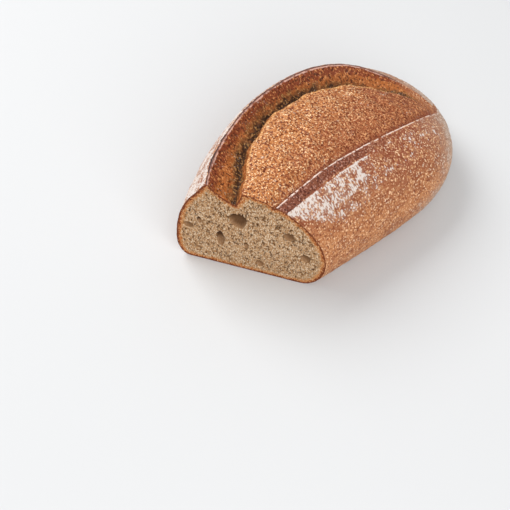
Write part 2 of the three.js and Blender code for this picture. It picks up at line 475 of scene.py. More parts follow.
    def undercut(self, x: np.ndarray, side: int, shares: np.ndarray) -> np.ndarray:
        """Quarter round from the base's corner out to the belly.

        Args:
            x: stations.
            side: 1 on the left, -1 on the right.
            shares: how far round each point lies, 0 at the corner and 1 at the belly.

        Returns:
            y and z of every point at every station.
        """
        at = x[:, None]
        width = self.side_width(at, side > 0)
        inset = self.inset_left if side > 0 else self.inset_right
        inset = inset * np.minimum(1.0, width / self.narrow_below)
        turn = (math.pi / 2.0) * (1.0 - shares)
        y = self.centre_line(at) + side * (width - inset * (1.0 - np.cos(turn)))
        z = mix(self.belly(at, side > 0), self.underside(at), np.sin(turn))
        return np.stack([y, z], -1)

    def flank(self, x: np.ndarray, side: int, end_y: np.ndarray, shares: np.ndarray) -> np.ndarray:
        """Crust from the belly up to end_y, with even turns of its oval.

        Args:
            x: stations.
            side: 1 on the left, -1 on the right.
            end_y: where the flank ends, at every station.
            shares: how far up each point lies, 0 at the belly and 1 at end_y.

        Returns:
            y and z of every point at every station.
        """
        at = x[:, None]
        width = np.maximum(self.side_width(at, side > 0), 1e-6)
        power = self.shoulder(at, side > 0)
        reach = side * (end_y[:, None] - self.centre_line(at)) / width
        sign = np.where(reach < 0, -1.0, 1.0)
        end_turn = sign * np.arcsin(np.clip(np.abs(reach), 0.0, 1.0) ** (power / 2.0))
        turn = mix(math.pi / 2.0, end_turn, shares)
        out = np.sign(turn) * np.abs(np.sin(turn)) ** (2.0 / power)
        y = self.centre_line(at) + side * width * out
        return np.stack([y, self.crust_height(at, y)], -1)

    def bloom_strip(self, x: np.ndarray, from_y: np.ndarray, to_y: np.ndarray,
                    shares: np.ndarray) -> np.ndarray:
        """The torn dough between the crevice and the right lip, with its larger lumps.

        Args:
            x: stations.
            from_y: where it starts at the crevice, at every station.
            to_y: where it ends at the lip, at every station.
            shares: how far across each point lies, 0 at the crevice and 1 at the lip.

        Returns:
            y and z of every point at every station.
        """
        at = x[:, None]
        y = mix(from_y[:, None], to_y[:, None], shares)
        rim = self.bloom_rim * (1.0 - np.sqrt(np.clip(shares / self.bloom_rim_share, 0.0, 1.0)))
        trough = self.lip_step * smooth((shares - 1.0 + self.trough_share) / self.trough_share)
        lump = plan_lumps(at / self.lump_size, y / self.lump_size) * np.sin(math.pi * shares)
        z = self.crust_height(at, y) + self.fade(at) * (self.lump_height * lump - trough - rim)
        return np.stack([y, z], -1)


def slope(start: np.ndarray, end: np.ndarray, steps: int, sag: np.ndarray | float = 0.0
          ) -> np.ndarray:
    """Points on a straight or sagging line from start up to, but not including, end.

    Args:
        start: y and z at every station.
        end: y and z at every station.
        steps: how many points.
        sag: how far the line's middle hangs, at every station.

    Returns:
        y and z of every point at every station.
    """
    shares = np.arange(steps) / steps
    points = mix(start[:, None, :], end[:, None, :], shares[None, :, None])
    hang = np.broadcast_to(np.asarray(sag, float), start.shape[:1])
    points[..., 1] -= hang[:, None] * 4.0 * shares * (1.0 - shares)
    return points


@dataclass
class Skin:
    """The crust as rows of points: one row for each station, one column for each place round it.

    Attributes:
        points: x, y and z in mm, by station and column.
        starts: first column of each region.
        stations: x of each row.
    """

    points: np.ndarray
    starts: dict[Region, int]
    stations: np.ndarray

    def run(self) -> np.ndarray:
        """Distance along each row from its first column.

        Returns:
            The distance in mm, by station and column.
        """
        steps = np.linalg.norm(np.diff(self.points, axis=1), axis=-1)
        zero = np.zeros((len(self.points), 1))
        return np.concatenate([zero, np.cumsum(steps, axis=1)], axis=1)

    def normals(self) -> np.ndarray:
        """Which way the skin faces.

        Returns:
            Outward unit normals, by station and column.
        """
        round_it = np.roll(self.points, -1, axis=1) - np.roll(self.points, 1, axis=1)
        along = np.gradient(self.points, axis=0)
        across = np.cross(round_it, along)
        length = np.linalg.norm(across, axis=-1, keepdims=True)
        unit = across / np.maximum(length, 1e-9)
        middle = self.points.mean(axis=1, keepdims=True)
        outward = np.sign(np.sum(unit * (self.points - middle)))
        return unit * outward


@dataclass(frozen=True)
class Lumps:
    """Smooth lumps in the relief.

    Attributes:
        size: of one lump along x, y and z, in mm.
        height: how far it stands out, in mm.
        layers: how many finer layers it has.
    """

    size: tuple[float, float, float]
    height: float
    layers: int = 2

    def over(self, places: np.ndarray) -> np.ndarray:
        """Their height over each place, in mm."""
        return self.height * dough_noise(places, self.size, self.layers)


@dataclass(frozen=True)
class PackedGrains:
    """Round grains that lie side by side in the relief.

    Attributes:
        size: of one grain, in mm.
        height: how far it stands out, in mm.
        shift: moves their pattern away from that of the other grains, in mm.
    """

    size: float
    height: float
    shift: float = 0.0

    def over(self, places: np.ndarray) -> np.ndarray:
        """Their height over each place, in mm."""
        return self.height * (0.5 - dough_cells(places + self.shift, self.size))


@dataclass(frozen=True)
class Relief:
    """Fine relief of the baked skin: torn on the bloom and the wall, blistered elsewhere (mm).

    Attributes:
        fine: the finest lumps, which lie all over.
        torn_ease: how far inside the bloom's edge its relief reaches full height.
        torn_lumps: the bloom's lumps.
        torn_middle: their share of that height in the bloom's middle.
        torn_rim: what the bloom's rim adds to that share.
        rim_from: distance from the bloom's edge up to which it is all rim.
        rim_ease: how far further in the rim fades out.
        torn_grain: the bloom's grains.
        torn_fine: share of the fine lumps on the bloom.
        pit_spacing: distance between the bloom's sparse pits.
        pit_depth: how deep they are.
        pit_width: how wide they are, as a share of their spacing.
        pit_shift: moves their pattern away from that of the grains.
        wall_ease: how far inside the wall's edges its relief reaches full height.
        wall_fibres: the strands of dough that tore along the wall.
        wall_ripples: its larger waves.
        wall_fine: share of the fine lumps on the wall.
        foot_reach: distance from the crevice's bottom up to which shreds hang.
        foot_shreds: those shreds.
        foot_fine: share of the fine lumps near the bottom.
        blisters: small blisters of the untorn crust.
        dimples: its shallow waves.
        crust_fine: share of the fine lumps on the untorn crust.
        edge_reach: distance from the ear's edge over which it has burnt away unevenly.
        burnt: how the edge's height wanders.
        burnt_sunk: how far it lies below the smooth skin.
        narrow_below: half width below which the relief fades out, towards the tip.
    """

    fine: Lumps = Lumps((1.9, 1.9, 1.9), 1.0)
    torn_ease: float = 1.5
    torn_lumps: Lumps = Lumps((6.0, 6.0, 6.0), 1.0, 3)
    torn_middle: float = 0.55
    torn_rim: float = 0.5
    rim_from: float = 1.0
    rim_ease: float = 7.0
    torn_grain: PackedGrains = PackedGrains(2.3, 0.75)
    torn_fine: float = 0.3
    pit_spacing: float = 7.5
    pit_depth: float = 1.5
    pit_width: float = 0.2
    pit_shift: float = 40.0
    wall_ease: float = 1.2
    wall_fibres: Lumps = Lumps((1.8, 5.0, 5.0), 0.25)
    wall_ripples: Lumps = Lumps((7.0, 12.0, 12.0), 0.6)
    wall_fine: float = 0.2
    foot_reach: float = 12.0
    foot_shreds: PackedGrains = PackedGrains(2.8, 0.7, 20.0)
    foot_fine: float = 0.5
    blisters: PackedGrains = PackedGrains(2.6, 0.32, 90.0)
    dimples: Lumps = Lumps((11.0, 11.0, 11.0), 0.25)
    crust_fine: float = 0.1
    edge_reach: float = 3.0
    burnt: Lumps = Lumps((8.0, 30.0, 30.0), 0.8, 3)
    burnt_sunk: float = 0.44
    narrow_below: float = 20.0

    def torn(self, places: np.ndarray, fine: np.ndarray, bloom_mm: np.ndarray) -> np.ndarray:
        """Relief of the bloom.

        Args:
            places: points in mm.
            fine: the fine lumps over them.
            bloom_mm: how far inside the bloom's edge each lies.

        Returns:
            Heights in mm.
        """
        rim = smooth(1.0 - (bloom_mm - self.rim_from) / self.rim_ease)
        sparse = dough_cells(places + self.pit_shift, self.pit_spacing)
        pits = -self.pit_depth * smooth(1.0 - sparse / self.pit_width)
        lumps = (self.torn_middle + self.torn_rim * rim) * self.torn_lumps.over(places)
        return lumps + self.torn_grain.over(places) + self.torn_fine * fine + pits

    def wall(self, places: np.ndarray, fine: np.ndarray, foot_mm: np.ndarray) -> np.ndarray:
        """Relief of the torn wall behind the ear.

        Args:
            places: points in mm.
            fine: the fine lumps over them.
            foot_mm: how far from the crevice's bottom each lies.

        Returns:
            Heights in mm.
        """
        near_foot = smooth(1.0 - foot_mm / self.foot_reach)
        strands = self.wall_fibres.over(places) + self.wall_ripples.over(places)
        shreds = self.foot_shreds.over(places) + self.foot_fine * fine
        return strands + self.wall_fine * fine + near_foot * shreds

    def untorn(self, places: np.ndarray, fine: np.ndarray) -> np.ndarray:
        """Relief of the crust that kept its skin, in mm."""
        return self.blisters.over(places) + self.dimples.over(places) + self.crust_fine * fine

    def height(self, places: np.ndarray, traits: dict[str, np.ndarray], half_width: np.ndarray
               ) -> np.ndarray:
        """How far each point stands out of the smooth skin.

        Args:
            places: points in mm, by station and column.
            traits: distances from the skin's lines.
            half_width: of the loaf, at every station.

        Returns:
            Heights in mm, by station and column.
        """
        strength = traits["score"]
        fine = self.fine.over(places)
        on_bloom = smooth(traits["bloom_mm"] / self.torn_ease) * strength
        on_wall = smooth(traits["wall_mm"] / self.wall_ease) * strength
        on_crust = smooth(1.0 - on_bloom - on_wall)
        on_edge = np.exp(-((traits["ear_mm"] / self.edge_reach) ** 2)) * strength
        total = on_bloom * self.torn(places, fine, traits["bloom_mm"])
        total += on_wall * self.wall(places, fine, traits["foot_mm"])
        total += on_crust * self.untorn(places, fine)
        total += on_edge * (self.burnt.over(places) - self.burnt_sunk)
        return np.minimum(1.0, half_width / self.narrow_below)[:, None] * total


@dataclass
class Crust:
    """The whole baked skin, before the knife: its grid, relief and the traits its finish reads.

    Attributes:
        form: main shape.
        relief: what stands out of the smooth skin.
        steps: columns in each region.
        rows: stations along the loaf.
        past_cut: how much longer it is made, for the knife to take off.
        outline_steps: in how many places the outline is measured to space the rows.
        end_weight: how much closer the rows lie where the round end turns in.
        least_strip: share of their width that the ear's edge and the lip keep past the score.
        weld: how close points are joined where the grid meets itself.
    """

    form: LoafForm = LoafForm()
    relief: Relief = Relief()
    steps: dict[Region, int] = field(
        default_factory=lambda: {
            Region.LEFT_UNDERCUT: 7,
            Region.LEFT_FLANK: 50,
            Region.EAR_EDGE: 5,
            Region.EAR_WALL: 30,
            Region.CLIFF: 13,
            Region.BLOOM: 76,
            Region.LIP_STEP: 4,
            Region.RIGHT_FLANK: 88,
            Region.RIGHT_UNDERCUT: 9,
            Region.BASE: 12,
        }
    )
    rows: int = 280
    past_cut: float = 38.0
    outline_steps: int = 4000
    end_weight: float = 0.55
    least_strip: float = 0.2
    weld: float = 0.002

    def stations(self) -> np.ndarray:
        """Spaces the rows evenly along the outline.

        Returns:
            x of every row.
        """
        fine = np.linspace(-self.past_cut, self.form.length, self.outline_steps)
        turn = self.end_weight * np.diff(self.form.half_width(fine))
        run = np.concatenate([[0.0], np.cumsum(np.hypot(np.diff(fine), turn))])
        return np.interp(np.linspace(0.0, run[-1], self.rows + 1), run, fine)

    def skin(self) -> Skin:
        """Lays out every cross-section, from the left foot over the top and back.

        Returns:
            The smooth skin.
        """
        form = self.form
        x = self.stations()
        strength = form.fade(x)
        width = form.half_width(x)
        lip_y = form.lip_line(x)
        ear_y = lip_y + np.maximum(
            form.ear.across(x, form.score_end_x), form.end_spread_ear * width
        )
        ragged = sum(high * np.sin(x / long + start) for long, high, start in form.ragged_waves)
        opened = form.bloom.across(x, form.score_end_x) + form.ragged_edge * strength * ragged
        open_y = lip_y + np.maximum(opened, form.end_spread_bloom * width)
        bloom_y = np.minimum(open_y, ear_y - (form.ear_thickness + form.least_ear) * strength)
        least = self.least_strip * np.minimum(1.0, width / form.narrow_below)
        thin = np.maximum(strength, least)
        inner_y = ear_y - form.ear_thickness * thin
        foot_y = bloom_y + np.minimum(
            form.crevice_foot * strength, (inner_y - bloom_y) * form.foot_most
        )

        def settle(y: np.ndarray, opened: np.ndarray) -> np.ndarray:
            """Point at y whose height goes from the plain crust to opened with the strength."""
            return np.stack([y, mix(form.crust_height(x, y), opened, strength)], -1)

        edge = settle(ear_y, form.crust_height(x, ear_y) + form.ear_lift)
        inner = settle(inner_y, edge[:, 1] - form.ear_inner_drop)
        torn = settle(bloom_y, form.crust_height(x, bloom_y) - form.bloom_sunk)
        foot = settle(foot_y, torn[:, 1] - form.crevice_depth + form.bloom_sunk)
        lip = settle(lip_y, form.crust_height(x, lip_y))
        lip_foot = settle(lip_y + form.lip_chamfer * thin, lip[:, 1] - form.lip_step)

        def forward(region: Region) -> np.ndarray:
            """Shares of a region's columns, counted up from 0."""
            return np.arange(self.steps[region]) / self.steps[region]

        def backward(region: Region) -> np.ndarray:
            """Shares of a region's columns, counted down from 1."""
            return np.arange(self.steps[region], 0, -1) / self.steps[region]

        left = form.flank(x, 1, ear_y, forward(Region.LEFT_FLANK))
        near = np.exp(-(((left[..., 0] - ear_y[:, None]) / form.ear_lift_reach) ** 2))
        left[..., 1] += form.ear_lift * strength[:, None] * near
        shares = backward(Region.RIGHT_FLANK)
        right = form.flank(x, -1, lip_y, shares)
        wave = plan_lumps(
            x[:, None] / form.crust_wave_size[0], right[..., 0] / form.crust_wave_size[1]
        )
        held = smooth((1.0 - shares) / form.crust_wave_ease)
        right[..., 1] += form.crust_wave * form.swell(x)[:, None] * wave * held
        left_foot = form.undercut(x, 1, forward(Region.LEFT_UNDERCUT))
        right_foot = form.undercut(x, -1, backward(Region.RIGHT_UNDERCUT))
        right_corner = form.undercut(x, -1, np.zeros(1))[:, 0]
        left_corner = left_foot[:, 0]
        strips = {
            Region.LEFT_UNDERCUT: left_foot,
            Region.LEFT_FLANK: left,
            Region.EAR_EDGE: slope(
                edge, inner, self.steps[Region.EAR_EDGE], -form.ear_crown * strength
            ),
            Region.EAR_WALL: slope(
                inner, foot, self.steps[Region.EAR_WALL], form.ear_wall_sag * strength
            ),
            Region.CLIFF: slope(foot, torn, self.steps[Region.CLIFF]),
            Region.BLOOM: form.bloom_strip(x, bloom_y, lip_foot[:, 0], forward(Region.BLOOM)),
            Region.LIP_STEP: slope(lip_foot, lip, self.steps[Region.LIP_STEP]),
            Region.RIGHT_FLANK: right,
            Region.RIGHT_UNDERCUT: right_foot,
            Region.BASE: slope(right_corner, left_corner, self.steps[Region.BASE]),
        }
        starts = {}
        count = 0
        for region, strip in strips.items():
            starts[region] = count
            count += strip.shape[1]
        rows = np.concatenate(list(strips.values()), axis=1)
        along = np.broadcast_to(x[:, None, None], rows.shape[:2] + (1,))
        return Skin(np.concatenate([along, rows], axis=-1), starts, x)

    def traits(self, skin: Skin) -> dict[str, np.ndarray]:
        """Distances in mm that the relief and the finish read, one for each point of the skin.

        Args:
            skin: the smooth skin.

        Returns:
            Arrays by name: from the ear's edge outwards, from the right lip outwards, inwards
            from the bloom's edges, inwards from the edges of the torn wall, from the crevice's
            bottom, and the score's strength.
        """
        run = skin.run()

        def at(region: Region) -> np.ndarray:
            """Distance along each row to where a region starts."""
            return run[:, skin.starts[region]][:, None]

        bloom_in = np.minimum(run - at(Region.BLOOM), at(Region.LIP_STEP) - run)
        wall_in = np.minimum(run - at(Region.EAR_WALL), at(Region.BLOOM) - run)
        strength = np.broadcast_to(self.form.fade(skin.stations)[:, None], run.shape)
        return {
            "ear_mm": at(Region.EAR_EDGE) - run,
            "lip_mm": run - at(Region.RIGHT_FLANK),
            "bloom_mm": bloom_in,
            "wall_mm": wall_in,
            "foot_mm": np.abs(run - at(Region.CLIFF)),
            "score": strength,
        }

    def build(self, name: str, to_row: Vector) -> bpy.types.Object:
        """Makes the closed mesh of the skin with its relief and traits.

        Args:
            name: the piece's name.
            to_row: what is added to a place in the working frame, in mm, to give the row frame.

        Returns:
            The piece, in metres in the row frame.
        """
        skin = self.skin()
        traits = self.traits(skin)
        height = self.relief.height(skin.points, traits, self.form.half_width(skin.stations))
        base = skin.starts[Region.BASE]
        points = skin.points + height[..., None] * skin.normals()
        points[:, base:, 2] = np.maximum(points[:, base:, 2], skin.points[:, base:, 2])
        rows, columns = points.shape[:2]
        bpy.ops.mesh.primitive_grid_add(
            x_subdivisions=columns, y_subdivisions=rows - 1, size=1.0
        )
        piece = bpy.context.object
        piece.name = name
        only(piece)
        closed = np.concatenate([points, points[:, :1]], axis=1).reshape(-1, 3)
        write_points(piece, (closed + np.array(to_row)) * MM)
        # The finish also paints highlights where this relief is high and shade where it is low.
        traits["relief"] = height
        traits["baked"] = np.ones_like(height)
        for trait, values in traits.items():
            write_trait(piece, trait, np.concatenate([values, values[:, :1]], axis=1))
        meet = np.zeros((rows, columns + 1), bool)
        meet[:, [0, -1]] = True
        meet[-1, :] = True
        bpy.ops.object.mode_set(mode="EDIT")
        bpy.ops.mesh.select_mode(type="VERT")
        bpy.ops.mesh.select_all(action="DESELECT")
        bpy.ops.object.mode_set(mode="OBJECT")
        piece.data.vertices.foreach_set("select", meet.ravel())
        bpy.ops.object.mode_set(mode="EDIT")
        bpy.ops.mesh.remove_doubles(threshold=self.weld * MM)
        bpy.ops.mesh.select_all(action="DESELECT")
        bpy.ops.mesh.select_mode(type="EDGE")
        bpy.ops.mesh.select_non_manifold()
        bpy.ops.mesh.edge_face_add()
        bpy.ops.mesh.select_all(action="SELECT")
        bpy.ops.mesh.normals_make_consistent(inside=False)
        bpy.ops.object.mode_set(mode="OBJECT")
        return piece


# ---- The knife's cut and the crumb ----


@dataclass(frozen=True)
class Hole:
    """One large hole that the knife opened.

    Attributes:
        across: place across the face from its middle.
        up: height above the base.
        wide: half width.
        high: half height.
    """

    across: float
    up: float
    wide: float
    high: float


@dataclass(frozen=True)
class CrumbCells:
    """The small cells of the open crumb, which rose in a fan from the base (mm).

    Attributes:
        slits: the many short slits between the crumb's walls.
        crowding: where more of them lie together.
        slit_opens: how high the two reach as a slit opens.
        slit_depth: of the slits.
        round_spacing: distance between the fewer round cells.
        round_opens: distance from a round cell's middle over which it opens, in such spacings.
        round_depth: of the round cells.
        wavy: unevenness of the whole face.
        fan_at_base: width of the cells at the base, as a share of their size.
        fan_height: height over which they widen by their whole size.
        slice_y: where the patterns are read on their third side.
        crowding_shift: moves that pattern away from the slits'.
        wavy_shift: moves that pattern away from the slits'.
        from_rim: distance from the face's outline over which the cells reach full depth.
    """

    slits: Lumps = Lumps((1.6, 2.4, 2.9), 1.0)
    crowding: Lumps = Lumps((5.0, 9.0, 6.5), 0.45)
    slit_opens: Fade = Fade(0.19, 0.45)
    slit_depth: float = 0.935
    round_spacing: float = 4.2
    round_opens: Fade = Fade(0.25, 0.15)
    round_depth: float = 0.99
    wavy: Lumps = Lumps((2.4, 2.4, 2.4), 0.12)
    fan_at_base: float = 0.55
    fan_height: float = 130.0
    slice_y: float = 5.0
    crowding_shift: float = 50.0
    wavy_shift: float = 20.0
    from_rim: Fade = Fade(1.6, 4.0)

    def depth(self, across: np.ndarray, up: np.ndarray, inside: np.ndarray) -> np.ndarray:
        """How deep the cells are over the face.

        Args:
            across: place of each point across the face, from its middle.
            up: its height above the base.
            inside: its distance to the face's outline.

        Returns:
            Depths in mm, positive into the loaf.
        """
        fan = across / (self.fan_at_base + up / self.fan_height)
        spot = np.stack([fan, np.full_like(up, self.slice_y), up], -1)
        open_to = self.slits.over(spot) + self.crowding.over(spot + self.crowding_shift)
        depth = self.slit_depth * self.slit_opens.at(open_to)
        depth += self.round_depth * self.round_opens.at(dough_cells(spot, self.round_spacing))
        depth += self.wavy.over(spot + self.wavy_shift)
        return depth * self.from_rim.at(inside)


@dataclass
class CrumbCut:
    """The slanting cut through the loaf and the open crumb that it shows (mm).

    Attributes:
        form: main shape.
        bias: the knife's slant across the loaf, in radians.
        cut_at: distance of the cut from the score line's start, along the knife's normal.
        holes: the large holes, the same ones that the solid has.
        hole_depth: of a hole, in its half widths.
        hole_tears: unevenness of the holes' edges, its height in their half widths.
        cells: the crumb's small cells.
        pitch: spacing of the face's grid.
        reach: half of the grid's width.
        height: the grid's height.
        below: how far under the base the grid starts.
        thickness: of the block that is cut away.
    """

    form: LoafForm = LoafForm()
    bias: float = math.radians(30.0)
    cut_at: float = 3.0
    holes: tuple[Hole, ...] = (
        Hole(0, 54, 5.6, 8),
        Hole(-12.5, 29, 2.8, 8.6),
        Hole(-35, 36, 3.6, 3.3),
        Hole(-27, 44, 1.8, 4.3),
        Hole(35, 50, 3.9, 3.9),
        Hole(47, 30, 3.6, 4.3),
        Hole(15, 11, 2.7, 4.1),
        Hole(5.5, 28, 1.8, 3.6),
        Hole(-28.5, 13, 2.4, 1.8),
    )
    hole_depth: float = 0.8
    hole_tears: Lumps = Lumps((4.5, 4.5, 4.5), 0.45)
    cells: CrumbCells = CrumbCells()
    pitch: float = 0.58
    reach: float = 76.0
    height: float = 100.0
    below: float = 5.0
    thickness: float = 70.0

    def normal(self) -> np.ndarray:
        """The knife's normal, pointing into the loaf."""
        return np.array([math.cos(self.bias), math.sin(self.bias), 0.0])

    def sideways(self) -> np.ndarray:
        """Unit vector across the face, to the ear's side."""
        return np.array([-math.sin(self.bias), math.cos(self.bias), 0.0])

    def middle(self) -> float:
        """Finds the face's middle.

        Returns:
            Its place along the sideways vector.
        """
        at_start = float(self.form.centre_line(np.zeros(1))[0])
        x = self.cut_at / math.cos(self.bias) - at_start * math.tan(self.bias)
        centre = float(self.form.centre_line(np.array([x]))[0])
        return centre / math.cos(self.bias) - self.cut_at * math.tan(self.bias)

    def rim(self, skin: Skin) -> np.ndarray:
        """The face's outline, where each column of the skin crosses the cut.

        Args:
            skin: the smooth skin.

        Returns:
            Sideways place and height of each point of the closed outline.
        """
        depth = skin.points @ self.normal() - self.cut_at
        after = np.argmax(depth > 0, axis=0)
        columns = np.arange(depth.shape[1])
        far = depth[after, columns]
        near = depth[after - 1, columns]
        share = (-near / (far - near))[:, None]
        points = mix(skin.points[after - 1, columns], skin.points[after, columns], share)
        return np.stack([points @ self.sideways(), points[:, 2]], -1)

    def rim_distance(self, places: np.ndarray, rim: np.ndarray) -> np.ndarray:
        """Distance of places on the face to its outline.

        Args:
            places: sideways place and height of each.
            rim: the face's closed outline.

        Returns:
            Distances in mm.
        """
        nearest = np.full(len(places), 1e9)
        for start, end in zip(rim, np.roll(rim, -1, axis=0)):
            line = end - start
            long = max(float(line @ line), 1e-9)
            share = np.clip(((places - start) @ line) / long, 0.0, 1.0)
            gap = places - start - share[:, None] * line
            nearest = np.minimum(nearest, np.einsum("ij,ij->i", gap, gap))
        return np.sqrt(nearest)

    def hole_relief(self, places: np.ndarray) -> tuple[np.ndarray, np.ndarray]:
        """The large holes, each half of an oval bubble with a slightly torn edge.

        Args:
            places: sideways place and height of each grid point.

        Returns:
            Depths in mm, and how far up in its hole each point lies: -1 at its floor, 1 at its
            roof, 0 outside.
        """
        depth = np.zeros(len(places))
        roof = np.zeros(len(places))
        spot = np.stack([places[:, 0], depth, places[:, 1]], -1)
        torn = self.hole_tears.over(spot)
        for hole in self.holes:
            across = (places[:, 0] - (self.middle() - hole.across)) / hole.wide
            up = (places[:, 1] - hole.up) / hole.high
            bowl = np.sqrt(np.clip(1.0 + torn - across**2 - up**2, 0.0, 1.0))
            depth = np.maximum(depth, hole.wide * self.hole_depth * bowl)
            roof = np.where(bowl > 0.0, up, roof)
        return depth, roof

    def blade(self, rim: np.ndarray, to_row: Vector) -> bpy.types.Object:
        """A block to cut the loaf with, whose front carries the crumb's cells.

        Args:
            rim: the face's outline.
            to_row: from the working frame to the row frame, in mm.

        Returns:
            The closed block, with its traits.
        """
        columns = int(2 * self.reach / self.pitch)
        rows = int(self.height / self.pitch)
        bpy.ops.mesh.primitive_grid_add(x_subdivisions=columns, y_subdivisions=rows, size=1.0)
        piece = bpy.context.object
        piece.name = "knife_cut"
        only(piece)
        flat = read_points(piece)[:, :2]
        across = self.middle() + flat[:, 0] * 2.0 * self.reach
        up = (flat[:, 1] + 0.5) * self.height - self.below
        places = np.stack([across, up], -1)
        inside = self.rim_distance(places, rim)
        cells = self.cells.depth(across - self.middle(), up, inside)
        holes, roof = self.hole_relief(places)
        depth = np.where(holes > 0.0, holes, cells)
        points = (
            np.outer(self.cut_at + depth, self.normal())
            + np.outer(across, self.sideways())
            + np.outer(up, np.array([0.0, 0.0, 1.0]))
        )
        write_points(piece, (points + np.array(to_row)) * MM)
        write_trait(piece, "rim_mm", inside)
        write_trait(piece, "cell_mm", cells)
        write_trait(piece, "hole_mm", holes)
        # The finish paints shade from the cells' and holes' depths and under each hole's roof.
        write_trait(piece, "roof", roof)
        write_trait(piece, "baked", np.full(len(points), -1.0))
        back = Vector(-self.normal() * self.thickness * MM)
        bpy.ops.object.mode_set(mode="EDIT")
        bpy.ops.mesh.select_mode(type="EDGE")
        bpy.ops.mesh.select_all(action="DESELECT")
        bpy.ops.mesh.select_non_manifold()
        bpy.ops.mesh.extrude_edges_move(TRANSFORM_OT_translate={"value": back})
        bpy.ops.mesh.edge_face_add()
        bpy.ops.mesh.select_all(action="SELECT")
        bpy.ops.mesh.normals_make_consistent(inside=False)
        bpy.ops.object.mode_set(mode="OBJECT")
        return piece

    def slice(self, loaf: bpy.types.Object, blade: bpy.types.Object) -> None:
        """Takes the blade's block off the loaf and removes it.

        Args:
            loaf: the closed crust, which becomes the cut loaf.
            blade: the block from blade().
        """
        only(loaf)
        cut = loaf.modifiers.new("cut", "BOOLEAN")
        cut.operation = "DIFFERENCE"
        cut.solver = "MANIFOLD"
        cut.material_mode = "TRANSFER"
        cut.object = blade
        bpy.ops.object.modifier_apply(modifier=cut.name)
        bpy.data.objects.remove(blade)

    def mend_rim(self, loaf: bpy.types.Object) -> None:
        """Gives the new points along the cut's edge the traits of the crust beside them.

        Args:
            loaf: the cut loaf.
        """
        points = read_points(loaf)
        baked = read_trait(loaf, "baked")
        crust = np.flatnonzero(baked > 0.5)
        fresh = np.flatnonzero(np.abs(baked) < 0.5)
        tree = kdtree.KDTree(len(crust))
        for place in crust:
            tree.insert(points[place], int(place))
        tree.balance()
        beside = np.array([tree.find(points[place])[1] for place in fresh])
        for name in SKIN_TRAITS:
            values = read_trait(loaf, name)
            values[fresh] = values[beside]
            write_trait(loaf, name, values)
        LOG.info("cut rim: %d new points", len(fresh))


# ---- Flour ----


@dataclass(frozen=True)
class FlourPatch:
    """Flour that the basket left on the right flank, under a straight fold beside the lip (mm).

    Attributes:
        fold_y: y of the fold.
        reach: how far down the flank it lies at most.
        widens: where along the loaf it reaches that far.
        narrows_from: x from which its reach shrinks again.
        narrows_by: how much, for each mm.
        least_reach: of any part of it.
        upper_rim: how far under the fold it starts.
        lower_rim: share of its reach at which it ends.
        solid_along: where along the loaf it is solid.
        solid_down: share of its reach down to which it is solid.
        solid: density there.
        thins: where along the loaf the rest grows thin.
        loose: density of the rest, before and after that.
        blotches: how it clumps.
        settled: how much thinner it is at its lower end.
        ridge: what is added on the ridge of the fold.
        ridge_down: how far under the fold the ridge ends.
        ridge_starts: where along the loaf it begins.
        ridge_ends: where it ends.
    """

    fold_y: float = -40.2
    reach: float = 25.0
    widens: Fade = Fade(14.0, 64.0)
    narrows_from: float = 80.0
    narrows_by: float = 0.1
    least_reach: float = 0.5
    upper_rim: Fade = Fade(0.0, 0.5)
    lower_rim: Fade = Fade(1.0, 0.65)
    solid_along: Fade = Fade(60.0, 34.0)
    solid_down: Fade = Fade(0.7, 0.2)
    solid: float = 0.71
    thins: Fade = Fade(70.0, 120.0)
    loose: tuple[float, float] = (0.54, 0.22)
    blotches: Lumps = Lumps((6.0, 6.0, 6.0), 0.4)
    settled: float = 0.05
    ridge: float = 0.5
    ridge_down: Fade = Fade(1.5, 0.7)
    ridge_starts: Fade = Fade(70.0, 74.0)
    ridge_ends: Fade = Fade(106.0, 100.0)

    def density(self, points: np.ndarray) -> np.ndarray:
        """How thick it lies: solid near the cut, then in blotches.

        Args:
            points: in the working frame.

        Returns:
            Densities of 0 to 1.
        """
        x = points[:, 0]
        down = self.fold_y - points[:, 1]
        reach = self.reach * self.widens.at(x)
        reach -= self.narrows_by * np.maximum(0.0, x - self.narrows_from)
        share = np.clip(down / np.maximum(reach, self.least_reach), 0.0, 1.0)
        solid = self.solid_along.at(x) * self.solid_down.at(share)
        loose = mix(*self.loose, self.thins.at(x)) + self.blotches.over(points)
        ridge = self.ridge_down.at(down) * self.ridge_starts.at(x) * self.ridge_ends.at(x)
        total = mix(loose - self.settled * share, self.solid, solid) + self.ridge * ridge
        return np.clip(total, 0.0, 1.0) * self.upper_rim.at(down) * self.lower_rim.at(share)


@dataclass(frozen=True)
class FlourCoat:
    """Flour on the left flank outside the ear, thick near the cut (mm).

    Attributes:
        thins: where along the loaf it grows thin.
        thick: density before and after that.
        rises: height over which it reaches full density.
        at_foot: share of the density that is left at the base.
        streaks: how it lies in streaks, as the basket's weave pressed it on.
        from_ear: distance from the ear's edge at which it starts.
    """

    thins: Fade = Fade(60.0, 115.0)
    thick: tuple[float, float] = (0.66, 0.15)
    rises: Fade = Fade(8.0, 38.0)
    at_foot: float = 0.5
    streaks: Lumps = Lumps((14.0, 5.0, 5.0), 0.42)
    from_ear: Fade = Fade(0.8, 2.0)

    def density(self, points: np.ndarray, ear_mm: np.ndarray) -> np.ndarray:
        """How thick it lies.

        Args:
            points: in the working frame.
            ear_mm: how far outwards from the ear's edge each lies.

        Returns:
            Densities of 0 to 1.
        """
        thick = mix(*self.thick, self.thins.at(points[:, 0]))
        thick = thick * mix(self.at_foot, 1.0, self.rises.at(points[:, 2]))
        return np.clip(thick + self.streaks.over(points), 0.0, 1.0) * self.from_ear.at(ear_mm)


